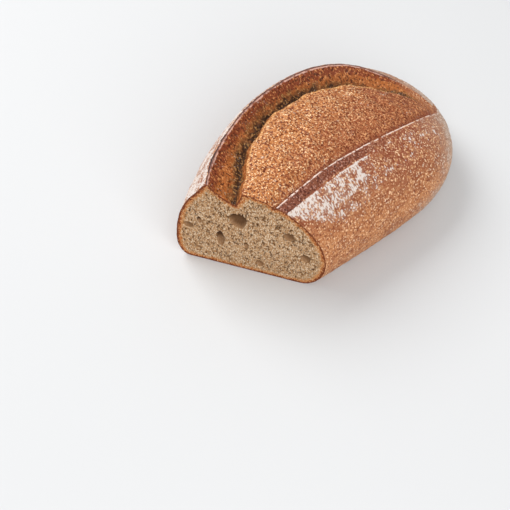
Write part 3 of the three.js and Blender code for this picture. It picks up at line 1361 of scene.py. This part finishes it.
@dataclass(frozen=True)
class FlourFilm:
    """Thin film of flour that greys the round end and the foot of the right flank (mm).

    Attributes:
        at_end: where along the loaf it comes in, at the round end.
        end_low: height below which it has its full strength there.
        end_high: share of its strength above that.
        at_foot: where along the loaf it comes in, at the right flank's foot.
        foot_low: height over which it comes in there.
        foot: its strength there.
    """

    at_end: Fade = Fade(125.0, 193.0)
    end_low: Fade = Fade(50.0, 35.0)
    end_high: float = 0.5
    at_foot: Fade = Fade(104.0, 154.0)
    foot_low: Fade = Fade(42.0, 16.0)
    foot: float = 0.8

    def strength(self, points: np.ndarray) -> np.ndarray:
        """How strong it is.

        Args:
            points: in the working frame.

        Returns:
            Strengths of 0 to 1.
        """
        x, y, z = points.T
        end = self.at_end.at(x) * mix(self.end_high, 1.0, self.end_low.at(z))
        foot = self.foot * self.foot_low.at(z) * self.at_foot.at(x)
        return np.maximum(end, foot * (y < 0.0))


# ---- Finishes ----


@dataclass
class Graph:
    """A material's node tree, with one way to add a node.

    Attributes:
        material: that the tree belongs to.
    """

    material: bpy.types.Material

    def add(self, kind: str, links: dict[Any, Any] | None = None, **settings: Any) -> Any:
        """Adds a node with its settings and inputs.

        Args:
            kind: the node's type.
            links: values, colours or sockets for its inputs, by name or number.
            settings: properties of the node.

        Returns:
            The node.
        """
        tree = self.material.node_tree
        node = tree.nodes.new(kind)
        for name, value in settings.items():
            setattr(node, name, value)
        for name, value in (links or {}).items():
            if isinstance(value, bpy.types.NodeSocket):
                tree.links.new(value, node.inputs[name])
            else:
                is_colour = isinstance(value, str)
                node.inputs[name].default_value = linear(value) if is_colour else value
        return node


def new_material(name: str) -> Graph:
    """Makes an empty node material.

    Args:
        name: of the material.

    Returns:
        Its graph.
    """
    material = bpy.data.materials.new(name)
    material.use_nodes = True
    material.node_tree.nodes.clear()
    return Graph(material)


@dataclass(frozen=True)
class Grain:
    """Noise that mottles a finish.

    Attributes:
        size: of one lump, in mm.
        detail: how many finer layers it has.
        stretch: how many times longer its lumps are along x, y and z.
    """

    size: float
    detail: float = 2.0
    stretch: tuple[float, float, float] = (1.0, 1.0, 1.0)


@dataclass(frozen=True)
class Ramp:
    """A smooth step over one source of a finish.

    Attributes:
        source: its name.
        start: value at which the step is 0.
        end: value at which it is 1, which may be the lower one.
    """

    source: str
    start: float
    end: float


@dataclass(frozen=True)
class Coat:
    """A layer of colour.

    Attributes:
        colour: as sRGB hex.
        share: how strongly it covers what lies under it.
        where: ramps that must all hold where it lies.
    """

    colour: str
    share: float
    where: tuple[Ramp, ...]


@dataclass(frozen=True)
class Finish:
    """A dull baked surface: a base colour under coats that follow its traits and grains.

    Sources are x, y and z in the row frame (mm), the piece's traits, the grains (0 to 1, mostly
    near 0.5) and weighted sums of earlier sources.

    Attributes:
        name: the material's name.
        base: colour under all the coats, as sRGB hex.
        traits: point attributes that it reads.
        grains: noises by name.
        sums: weights of the sources that each sum adds.
        coats: layers of colour, from the lowest to the topmost.
        dull: ramp of what makes the surface rougher.
        roughness: plain roughness, and the roughness where the dull ramp holds.
        bump: name of the source that bumps the surface.
        bump_mm: how far it stands out, in mm.
        ior: of the surface.
        specular: how strongly it mirrors, 0.5 being a clean surface.
        bump_strength: share of the bumps' slope that shows.
    """

    name: str
    base: str
    traits: tuple[str, ...]
    grains: dict[str, Grain]
    sums: dict[str, dict[str, float]]
    coats: tuple[Coat, ...]
    dull: Ramp
    roughness: tuple[float, float]
    bump: str
    bump_mm: float
    ior: float
    specular: float
    bump_strength: float = 0.8

    def sources(self, graph: Graph) -> dict[str, Any]:
        """Adds what the coats follow.

        Args:
            graph: the material's.

        Returns:
            A socket for each place, trait, grain and sum, by name.
        """
        add = graph.add
        place = add("ShaderNodeTexCoord").outputs["Object"]
        place = add("ShaderNodeMapping", {"Vector": place, "Scale": (1.0 / MM,) * 3}).outputs[0]
        sides = add("ShaderNodeSeparateXYZ", {0: place}).outputs
        found = {"x": sides[0], "y": sides[1], "z": sides[2]}
        for name in self.traits:
            found[name] = add("ShaderNodeAttribute", attribute_name=name).outputs["Fac"]
        for name, grain in self.grains.items():
            scale = tuple(1.0 / (grain.size * longer) for longer in grain.stretch)
            turned = add("ShaderNodeMapping", {"Vector": place, "Scale": scale}).outputs[0]
            links = {"Vector": turned, "Scale": 1.0, "Detail": grain.detail}
            found[name] = add("ShaderNodeTexNoise", links).outputs["Fac"]
        for name, parts in self.sums.items():
            total: Any = 0.0
            for source, weight in parts.items():
                links = {0: found[source], 1: weight, 2: total}
                total = add("ShaderNodeMath", links, operation="MULTIPLY_ADD").outputs[0]
            found[name] = total
        return found

    def coated(self, graph: Graph, sources: dict[str, Any]) -> Any:
        """Lays the coats over the base colour.

        Args:
            graph: the material's.
            sources: from sources().

        Returns:
            The socket of the finished colour.
        """
        add = graph.add
        colour: Any = self.base
        for coat in self.coats:
            share: Any = coat.share
            for ramp in coat.where:
                links = {"Value": sources[ramp.source], "From Min": ramp.start, "From Max": ramp.end}
                step = add("ShaderNodeMapRange", links, interpolation_type="SMOOTHSTEP")
                links = {0: step.outputs[0], 1: share}
                share = add("ShaderNodeMath", links, operation="MULTIPLY").outputs[0]
            links = {"Factor": share, 6: colour, 7: coat.colour}
            colour = add("ShaderNodeMix", links, data_type="RGBA").outputs[2]
        return colour

    def make(self) -> bpy.types.Material:
        """Builds the material.

        Returns:
            The material, ready for a piece's slot.
        """
        graph = new_material(self.name)
        add = graph.add
        sources = self.sources(graph)
        rough = add("ShaderNodeMapRange", {
            "Value": sources[self.dull.source],
            "From Min": self.dull.start,
            "From Max": self.dull.end,
            "To Min": self.roughness[0],
            "To Max": self.roughness[1],
        }).outputs[0]
        bumps = add("ShaderNodeBump", {
            "Height": sources[self.bump],
            "Strength": self.bump_strength,
            "Distance": self.bump_mm * MM,
        }).outputs[0]
        surface = add("ShaderNodeBsdfPrincipled", {
            "Base Color": self.coated(graph, sources),
            "Roughness": rough,
            "Normal": bumps,
            "IOR": self.ior,
            "Specular IOR Level": self.specular,
        }).outputs[0]
        add("ShaderNodeOutputMaterial", {"Surface": surface})
        return graph.material


# The score has opened only where it is this strong.
OPENED = Ramp("score", 0.0, 0.25)
ON_BLOOM = (Ramp("bloom_mm", -0.6, 0.6), OPENED)
ON_WALL = (Ramp("wall_mm", -1.7, -0.9), Ramp("bloom_mm", 0.5, -0.5), OPENED)
ON_FLANK = (Ramp("lip_mm", -0.4, 0.5),)
ON_BAND = ON_FLANK + (Ramp("band", 7.4, 6.2), Ramp("x", 55.0, -20.0))
IN_CREVICE = ON_WALL + (Ramp("x", 88.0, 76.0),)

BAKED_CRUST = Finish(
    # Wheat crust, baked dry in a hot oven: its sugars browned most where it is thin or high,
    # blistered and matt, with the dough's grain showing where it tore and never had a skin.
    name="baked_wheat_crust",
    base="#bb7a4c",
    traits=SKIN_TRAITS + ("flour", "film"),
    grains={
        "patches": Grain(24.0, 3.0),
        "blotches": Grain(7.0, 2.0),
        "coarse": Grain(3.6, 2.0),
        "blisters": Grain(1.3, 2.0),
        "speckle": Grain(1.05, 1.5),
        # Dark specks; pits also sinks the bump, so their dark coats are partly painted shade in its
        # hollows.
        "pits": Grain(1.45, 1.0, (0.9, 1.1, 1.3)),
        "fibres": Grain(1.2, 2.0, (1.0, 1.8, 1.8)),
        "crumbs": Grain(2.3, 3.0, (1.0, 1.5, 1.2)),
        "flecks": Grain(1.15, 1.5, (1.0, 2.2, 1.6)),
    },
    sums={
        "level": {"z": 1.0, "patches": 30.0, "coarse": 20.0, "x": 0.12},
        "speckle_and_highlight": {"relief": 0.08, "speckle": 1.0},
        # Random speckle plus the relief's height, so raised grains get painted highlights.
        "redness_and_side_shade": {"x": 1.0, "lip_mm": 2.2, "patches": 150.0},
        "dust": {"flecks": 0.72, "crumbs": 0.28, "flour": 0.40},
        "haze": {"blisters": 0.8, "blotches": 0.5, "film": 0.22},
        "line": {"lip_mm": 1.0, "blisters": 1.6},
        "band": {"lip_mm": 1.0, "x": 0.03, "blisters": 1.5},
        "rim": {"ear_mm": 1.0, "blisters": 1.4},
        "rust": {"ear_mm": 1.0, "coarse": 14.0},
        # How deep into the crevice, for its painted shade.
        "deep": {"foot_mm": 1.0, "coarse": -12.0, "blotches": -14.0, "x": -0.02},
        "grit": {"speckle": 1.0, "pits": 0.6},
    },
    coats=(
        # Plain crust: golden on the flank, redder towards the top.
        Coat("#8f4d35", 0.92, (Ramp("level", 62.0, 95.0),)),
        Coat("#cf9463", 0.6, (Ramp("coarse", 0.5, 0.66),)),
        Coat("#8a4a2c", 0.5, (Ramp("blotches", 0.48, 0.62),)),
        Coat("#f6c99d", 0.9, (Ramp("blisters", 0.54, 0.66),)),
        # Dark specks, partly painted shade in the bump's hollows.
        Coat("#7c3a1c", 0.85, (Ramp("pits", 0.45, 0.34),)),
        # Dark band between the lip and the flour's fold, strongest at the cut.
        Coat("#763f2a", 0.9, ON_BAND),
        Coat("#b98573", 0.7, ON_BAND + (Ramp("blisters", 0.52, 0.63),)),
        # Dark specks, partly painted shade in the bump's hollows.
        Coat("#44190f", 0.8, ON_BAND + (Ramp("pits", 0.48, 0.38),)),
        # Pale broken line along the lip's ridge: flour specks and a painted highlight.
        Coat("#ecd6ca", 0.95, (Ramp("line", -0.4, 0.2), Ramp("line", 1.7, 1.1),
                               Ramp("coarse", 0.42, 0.50))),
        Coat("#dcb7a4", 0.8, (Ramp("line", -2.6, -2.1), Ramp("line", -1.2, -1.7),
                              Ramp("x", 0.0, -30.0), Ramp("coarse", 0.4, 0.5))),
        # Bloom: grains of torn dough, with painted highlights on their tops and painted shade in the
        # pits.
        Coat("#bd7843", 1.0, ON_BLOOM),
        # Redder towards the lip and the tip, and painted shade on the bloom's side by the lip.
        Coat("#9a5735", 0.9, ON_BLOOM + (Ramp("redness_and_side_shade", -40.0, 70.0),)),
        # Painted highlights on the raised grains over random speckle, lightest on the side away from
        # the lip.
        Coat("#dc9f6c", 0.8, ON_BLOOM + (Ramp("speckle_and_highlight", 0.50, 0.61),)),
        Coat("#ffdcae", 0.95, ON_BLOOM + (Ramp("speckle_and_highlight", 0.56, 0.66), Ramp("redness_and_side_shade", 100.0, -20.0))),
        # Dark specks, partly painted shade in the bump's hollows.
        Coat("#6b2e0f", 0.92, ON_BLOOM + (Ramp("pits", 0.485, 0.375),)),
        # Painted shade in the low places of the bloom's relief.
        Coat("#6a2410", 0.92, ON_BLOOM + (Ramp("relief", -0.6, -1.3),)),
        Coat("#84401f", 0.8, ON_BLOOM + (Ramp("crumbs", 0.60, 0.66),)),
        Coat("#6e2a12", 0.65, ON_BLOOM + (Ramp("crumbs", 0.41, 0.345),)),
        # Painted highlight along the bloom's edge by the crevice.
        Coat("#f0b670", 0.6, ON_BLOOM + (Ramp("bloom_mm", 3.5, 1.5), Ramp("lip_mm", -25.0, -35.0),
                                         Ramp("speckle", 0.44, 0.54))),
        # Browner beside the lip, with painted shade in the trough there.
        Coat("#7f3f28", 0.75, ON_BLOOM + (Ramp("lip_mm", -7.0, -1.5),)),
        # Torn wall behind the ear: rusty under the edge, orange lower down, mottled.
        Coat("#a55e2b", 1.0, ON_WALL),
        Coat("#79341b", 0.85, ON_WALL + (Ramp("rust", -4.5, -0.5),)),
        Coat("#d8935a", 0.8, ON_WALL + (Ramp("fibres", 0.54, 0.66),)),
        # Dark specks, partly painted shade in the bump's hollows.
        Coat("#481d0a", 0.85, ON_WALL + (Ramp("pits", 0.46, 0.35),)),
        # Crevice: painted shade, darkest towards its bottom, with paler shreds that dried without
        # browning.
        Coat("#7a4c26", 0.75, IN_CREVICE + (Ramp("deep", -3.0, -6.5),)),
        Coat("#351d0c", 0.9, IN_CREVICE + (Ramp("deep", -6.0, -10.0),)),
        Coat("#b6844c", 0.75, IN_CREVICE + (Ramp("deep", -3.0, -6.0), Ramp("fibres", 0.55, 0.63))),
        # The ear's edge is the thinnest crust and burns first.
        Coat("#7b5046", 0.9, (Ramp("ear_mm", -2.0, -1.6), Ramp("ear_mm", 0.8, 0.2), OPENED)),
        # Painted highlight along the ear's crown, just inside its burnt edge.
        Coat("#d3a898", 0.85, (Ramp("rim", -1.9, -1.4), Ramp("rim", -0.4, -0.8), OPENED,
                               Ramp("coarse", 0.42, 0.52))),
        Coat("#2c1c1b", 0.95, (Ramp("rim", 0.0, 0.5), Ramp("rim", 2.0, 1.4), OPENED)),
        # Proofing flour and the haze it leaves.
        Coat("#c6a994", 0.76, (Ramp("film", 0.0, 1.0),)),
        Coat("#e0cdbc", 0.8, (Ramp("haze", 0.78, 0.96),)),
        # Dark specks, partly painted shade in the bump's hollows.
        Coat("#8d6044", 0.55, (Ramp("film", 0.1, 0.7), Ramp("pits", 0.46, 0.36))),
        Coat("#bfa392", 0.5, (Ramp("flour", 0.2, 0.8),)),
        Coat("#dfd3cb", 0.94, (Ramp("dust", 0.71, 0.77), Ramp("flour", 0.02, 0.12))),
    ),
    dull=Ramp("flour", 0.1, 0.8),
    roughness=(0.58, 0.9),
    bump="grit",
    bump_mm=0.6,
    ior=1.45,
    specular=0.3,
)

WHEAT_CRUMB = Finish(
    # Open wheat crumb, sliced with a sharp knife: matt and pale, with small dark cells, and painted
    # shade in its cells and holes.
    name="sliced_wheat_crumb",
    base="#d0a67b",
    traits=("rim_mm", "cell_mm", "hole_mm", "roof"),
    grains={
        "wide": Grain(9.0, 2.0),
        "fine": Grain(0.85, 1.5, (1.0, 1.0, 1.6)),
        "pores": Grain(1.5, 2.0, (1.0, 1.0, 1.8)),
        "ragged": Grain(2.6, 3.0),
    },
    sums={
        "edge": {"rim_mm": 1.0, "fine": 2.4, "ragged": 4.4},
    },
    coats=(
        Coat("#bb9065", 0.6, (Ramp("wide", 0.42, 0.62),)),
        Coat("#f7e0c2", 0.8, (Ramp("fine", 0.52, 0.62),)),
        Coat("#a06d40", 0.55, (Ramp("fine", 0.47, 0.38),)),
        Coat("#54331a", 0.8, (Ramp("pores", 0.42, 0.34),)),
        # Painted shade: darker where the cells are deep, darker with depth in the holes and darkest
        # under each hole's roof.
        Coat("#553619", 0.72, (Ramp("cell_mm", 0.3, 0.9),)),
        Coat("#96704e", 0.9, (Ramp("hole_mm", 0.0, 1.0),)),
        Coat("#5b3c24", 0.8, (Ramp("hole_mm", 1.2, 3.6),)),
        Coat("#3f2310", 0.92, (Ramp("roof", -0.2, 0.5),)),
        # Under the crust the crumb has dried and browned.
        Coat("#c98a50", 0.8, (Ramp("edge", 8.6, 6.0),)),
        Coat("#a65829", 0.9, (Ramp("edge", 6.7, 5.4), Ramp("fine", 0.6, 0.48))),
        Coat("#6b321a", 0.9, (Ramp("edge", 5.3, 4.4),)),
    ),
    dull=Ramp("cell_mm", 0.0, 1.0),
    roughness=(0.85, 0.95),
    bump="fine",
    bump_mm=0.5,
    ior=1.4,
    specular=0.2,
)


# ---- The loaf ----


@dataclass
class WheatLoaf:
    """The cut loaf: baked crust, knife cut and crumb as one closed piece.

    Attributes:
        form: main shape.
        crust: the baked skin.
        cut: the knife's cut and the crumb.
        patch: flour on the right flank.
        coat: flour on the left flank.
        film: thin flour on the round end and the right flank's foot.
        film_from_edges: how far outside the lip and the ear the film starts, in mm.
        crust_finish: of the skin.
        crumb_finish: of the cut.
        outline_steps: in how many places the plan is measured.
    """

    form: LoafForm = LoafForm()
    crust: Crust = field(default_factory=Crust)
    cut: CrumbCut = field(default_factory=CrumbCut)
    patch: FlourPatch = FlourPatch()
    coat: FlourCoat = FlourCoat()
    film: FlourFilm = FlourFilm()
    film_from_edges: Fade = Fade(-1.0, 0.0)
    crust_finish: Finish = BAKED_CRUST
    crumb_finish: Finish = WHEAT_CRUMB
    outline_steps: int = 2000

    def to_row(self) -> Vector:
        """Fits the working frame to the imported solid.

        Returns:
            What is added to a place in the working frame to give the row frame, in mm.
        """
        _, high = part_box("loaf")
        x = np.linspace(0.0, self.form.length, self.outline_steps)
        most_y = float((self.form.centre_line(x) + self.form.half_width(x)).max())
        return Vector((high.x / MM - self.form.length, high.y / MM - most_y, 0.0))

    def build(self) -> bpy.types.Object:
        """Models and dresses the loaf.

        Returns:
            The finished piece.
        """
        to_row = self.to_row()
        loaf = self.crust.build("wheat_loaf", to_row)
        loaf.data.materials.append(self.crust_finish.make())
        blade = self.cut.blade(self.cut.rim(self.crust.skin()), to_row)
        blade.data.materials.append(self.crumb_finish.make())
        self.cut.slice(loaf, blade)
        self.cut.mend_rim(loaf)
        self.keep_in_box(loaf)
        self.dust(loaf, to_row)
        self.shade(loaf)
        return loaf

    def keep_in_box(self, loaf: bpy.types.Object) -> None:
        """Holds every point inside the solid's box.

        Args:
            loaf: the cut loaf.
        """
        low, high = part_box("loaf")
        points = read_points(loaf)
        held = np.clip(points, np.array(low), np.array(high))
        LOG.info("held %d points in the box", int((np.abs(held - points) > 1e-7).any(1).sum()))
        write_points(loaf, held)

    def dust(self, loaf: bpy.types.Object, to_row: Vector) -> None:
        """Writes how much flour lies on each point.

        Args:
            loaf: the cut loaf.
            to_row: from the working frame to the row frame, in mm.
        """
        points = read_points(loaf) / MM - np.array(to_row)
        lip = read_trait(loaf, "lip_mm")
        ear = read_trait(loaf, "ear_mm")
        patch = self.patch.density(points) * (lip > 0.0)
        write_trait(loaf, "flour", np.maximum(patch, self.coat.density(points, ear)))
        outside = self.film_from_edges.at(np.maximum(lip, ear))
        write_trait(loaf, "film", self.film.strength(points) * outside)

    def shade(self, loaf: bpy.types.Object) -> None:
        """Shades the piece smooth, with a sharp line where the knife went through the crust.

        Args:
            loaf: the cut loaf.
        """
        only(loaf)
        bpy.ops.object.shade_smooth()
        mesh = loaf.data
        kinds = np.empty(len(mesh.polygons), np.int32)
        mesh.polygons.foreach_get("material_index", kinds)
        seen = np.zeros((len(mesh.edges), 2), bool)
        corner_edges = np.empty(len(mesh.loops), np.int32)
        mesh.loops.foreach_get("edge_index", corner_edges)
        totals = np.empty(len(mesh.polygons), np.int32)
        mesh.polygons.foreach_get("loop_total", totals)
        seen[corner_edges, np.repeat(np.minimum(kinds, 1), totals)] = True
        sharp = mesh.attributes.get("sharp_edge") or mesh.attributes.new(
            "sharp_edge", "BOOLEAN", "EDGE"
        )
        sharp.data.foreach_set("value", seen.all(axis=1))
        mesh.update()


# ---- Studio ----


@dataclass(frozen=True)
class SoftLight:
    """A square soft light that shines on the loaf, placed as the camera sees it.

    Attributes:
        name: of the light.
        right: how far right of the loaf it hangs, in metres.
        away: how far behind the loaf, in metres.
        up: how far above it, in metres.
        size: side of the square, in metres.
        power: in watts.
    """

    name: str
    right: float
    away: float
    up: float
    size: float
    power: float


@dataclass
class Studio:
    """Pale floor, soft light from the upper left and the camera at the photographed angle.

    Attributes:
        floor_colour: of the matt floor, as sRGB hex.
        floor_size: side of the floor, in metres.
        floor_roughness: of its surface.
        room_colour: of the light from all around, as sRGB hex.
        room_strength: of that light.
        lights: the soft lights.
        heading: way the camera faces in the plan, from +X towards +Y.
        elevation: how steeply it looks down.
        focal_px: focal length in the picture's pixels.
        frame_px: width of the picture.
        sensor_mm: width of the sensor.
        distance_mm: from the aim point, along the line of sight.
        aim_mm: point of the loaf that the camera is aimed by, in the working frame.
        aim_px: where that point falls in the picture.
    """

    floor_colour: str = "#d1d2d3"
    floor_size: float = 6.0
    floor_roughness: float = 0.9
    room_colour: str = "#f5f5f5"
    room_strength: float = 0.55
    lights: tuple[SoftLight, ...] = (
        SoftLight("softbox", -0.9, 0.7, 1.3, 1.1, 23.0),
        SoftLight("fill", 0.35, -1.15, 1.1, 1.4, 17.0),
    )
    heading: float = math.radians(47.0)
    elevation: float = math.radians(56.0)
    focal_px: float = 1200.0
    frame_px: float = 510.0
    sensor_mm: float = 36.0
    distance_mm: float = 845.0
    aim_mm: tuple[float, float, float] = (94.02, -6.41, 25.0)
    aim_px: tuple[float, float] = (320.0, 175.0)

    def directions(self) -> tuple[np.ndarray, np.ndarray, np.ndarray]:
        """Works out how the camera is turned.

        Returns:
            Its forward, right and up vectors.
        """
        flat = math.cos(self.elevation)
        forward = np.array(
            [
                math.cos(self.heading) * flat,
                math.sin(self.heading) * flat,
                -math.sin(self.elevation),
            ]
        )
        right = np.array([math.sin(self.heading), -math.cos(self.heading), 0.0])
        return forward, right, np.cross(right, forward)

    def add_camera(self, to_row: Vector) -> None:
        """Places the camera so that the aim point falls on its place in the picture.

        Args:
            to_row: from the working frame to the row frame, in mm.
        """
        forward, right, up = self.directions()
        half = self.frame_px / 2.0
        aside = (self.aim_px[0] - half) / self.focal_px
        above = (half - self.aim_px[1]) / self.focal_px
        ray = forward + aside * right + above * up
        aim = np.array(self.aim_mm) + np.array(to_row)
        place = (aim - self.distance_mm * ray) * MM
        data = bpy.data.cameras.new("camera")
        data.sensor_width = self.sensor_mm
        data.lens = self.sensor_mm * self.focal_px / self.frame_px
        data.clip_start = 0.01
        camera = bpy.data.objects.new("camera", data)
        bpy.context.scene.collection.objects.link(camera)
        camera.location = place
        camera.rotation_euler = Vector(forward).to_track_quat("-Z", "Y").to_euler()
        bpy.context.scene.camera = camera

    def add_light(self, light: SoftLight) -> None:
        """Adds one soft light, turned to the loaf.

        Args:
            light: its place, size and power.
        """
        forward, right, _ = self.directions()
        away = np.array([forward[0], forward[1], 0.0])
        away /= np.linalg.norm(away)
        up = np.array([0.0, 0.0, 1.0])
        toward = light.right * right + light.away * away + light.up * up
        data = bpy.data.lights.new(light.name, "AREA")
        data.shape = "SQUARE"
        data.size = light.size
        data.energy = light.power
        lamp = bpy.data.objects.new(light.name, data)
        bpy.context.scene.collection.objects.link(lamp)
        lamp.location = toward
        lamp.rotation_euler = Vector(-toward).to_track_quat("-Z", "Y").to_euler()

    def add_floor(self) -> None:
        """Adds the matt white card that the loaf rests on."""
        bpy.ops.mesh.primitive_plane_add(size=self.floor_size, location=(0.0, 0.0, 0.0))
        floor = bpy.context.object
        floor.name = "floor"
        graph = new_material("matt_white_card")
        links = {"Base Color": self.floor_colour, "Roughness": self.floor_roughness}
        surface = graph.add("ShaderNodeBsdfPrincipled", links).outputs[0]
        graph.add("ShaderNodeOutputMaterial", {"Surface": surface})
        floor.data.materials.append(graph.material)

    def add_room(self) -> None:
        """Adds the even light of the room."""
        world = bpy.data.worlds.new("room")
        world.use_nodes = True
        background = world.node_tree.nodes["Background"].inputs
        background["Color"].default_value = linear(self.room_colour)
        background["Strength"].default_value = self.room_strength
        bpy.context.scene.world = world
        bpy.context.scene.view_settings.view_transform = "Standard"

    def build(self, to_row: Vector) -> None:
        """Adds floor, lights, room and camera.

        Args:
            to_row: from the working frame to the row frame, in mm.
        """
        self.add_floor()
        for light in self.lights:
            self.add_light(light)
        self.add_room()
        self.add_camera(to_row)


def main() -> None:
    """Builds the loaf and the studio around the frame."""
    logging.basicConfig(level=logging.INFO, format="%(name)s: %(message)s")
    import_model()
    loaf = WheatLoaf()
    piece = loaf.build()
    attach(piece, "root")
    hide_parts("loaf")
    triangles = sum(len(face.vertices) - 2 for face in piece.data.polygons)
    LOG.info("%s: %d triangles", piece.name, triangles)
    studio = Studio()
    studio.build(loaf.to_row())
    LOG.info("studio: floor, %d soft lights, camera", len(studio.lights))


if __name__ == "__main__":
    main()
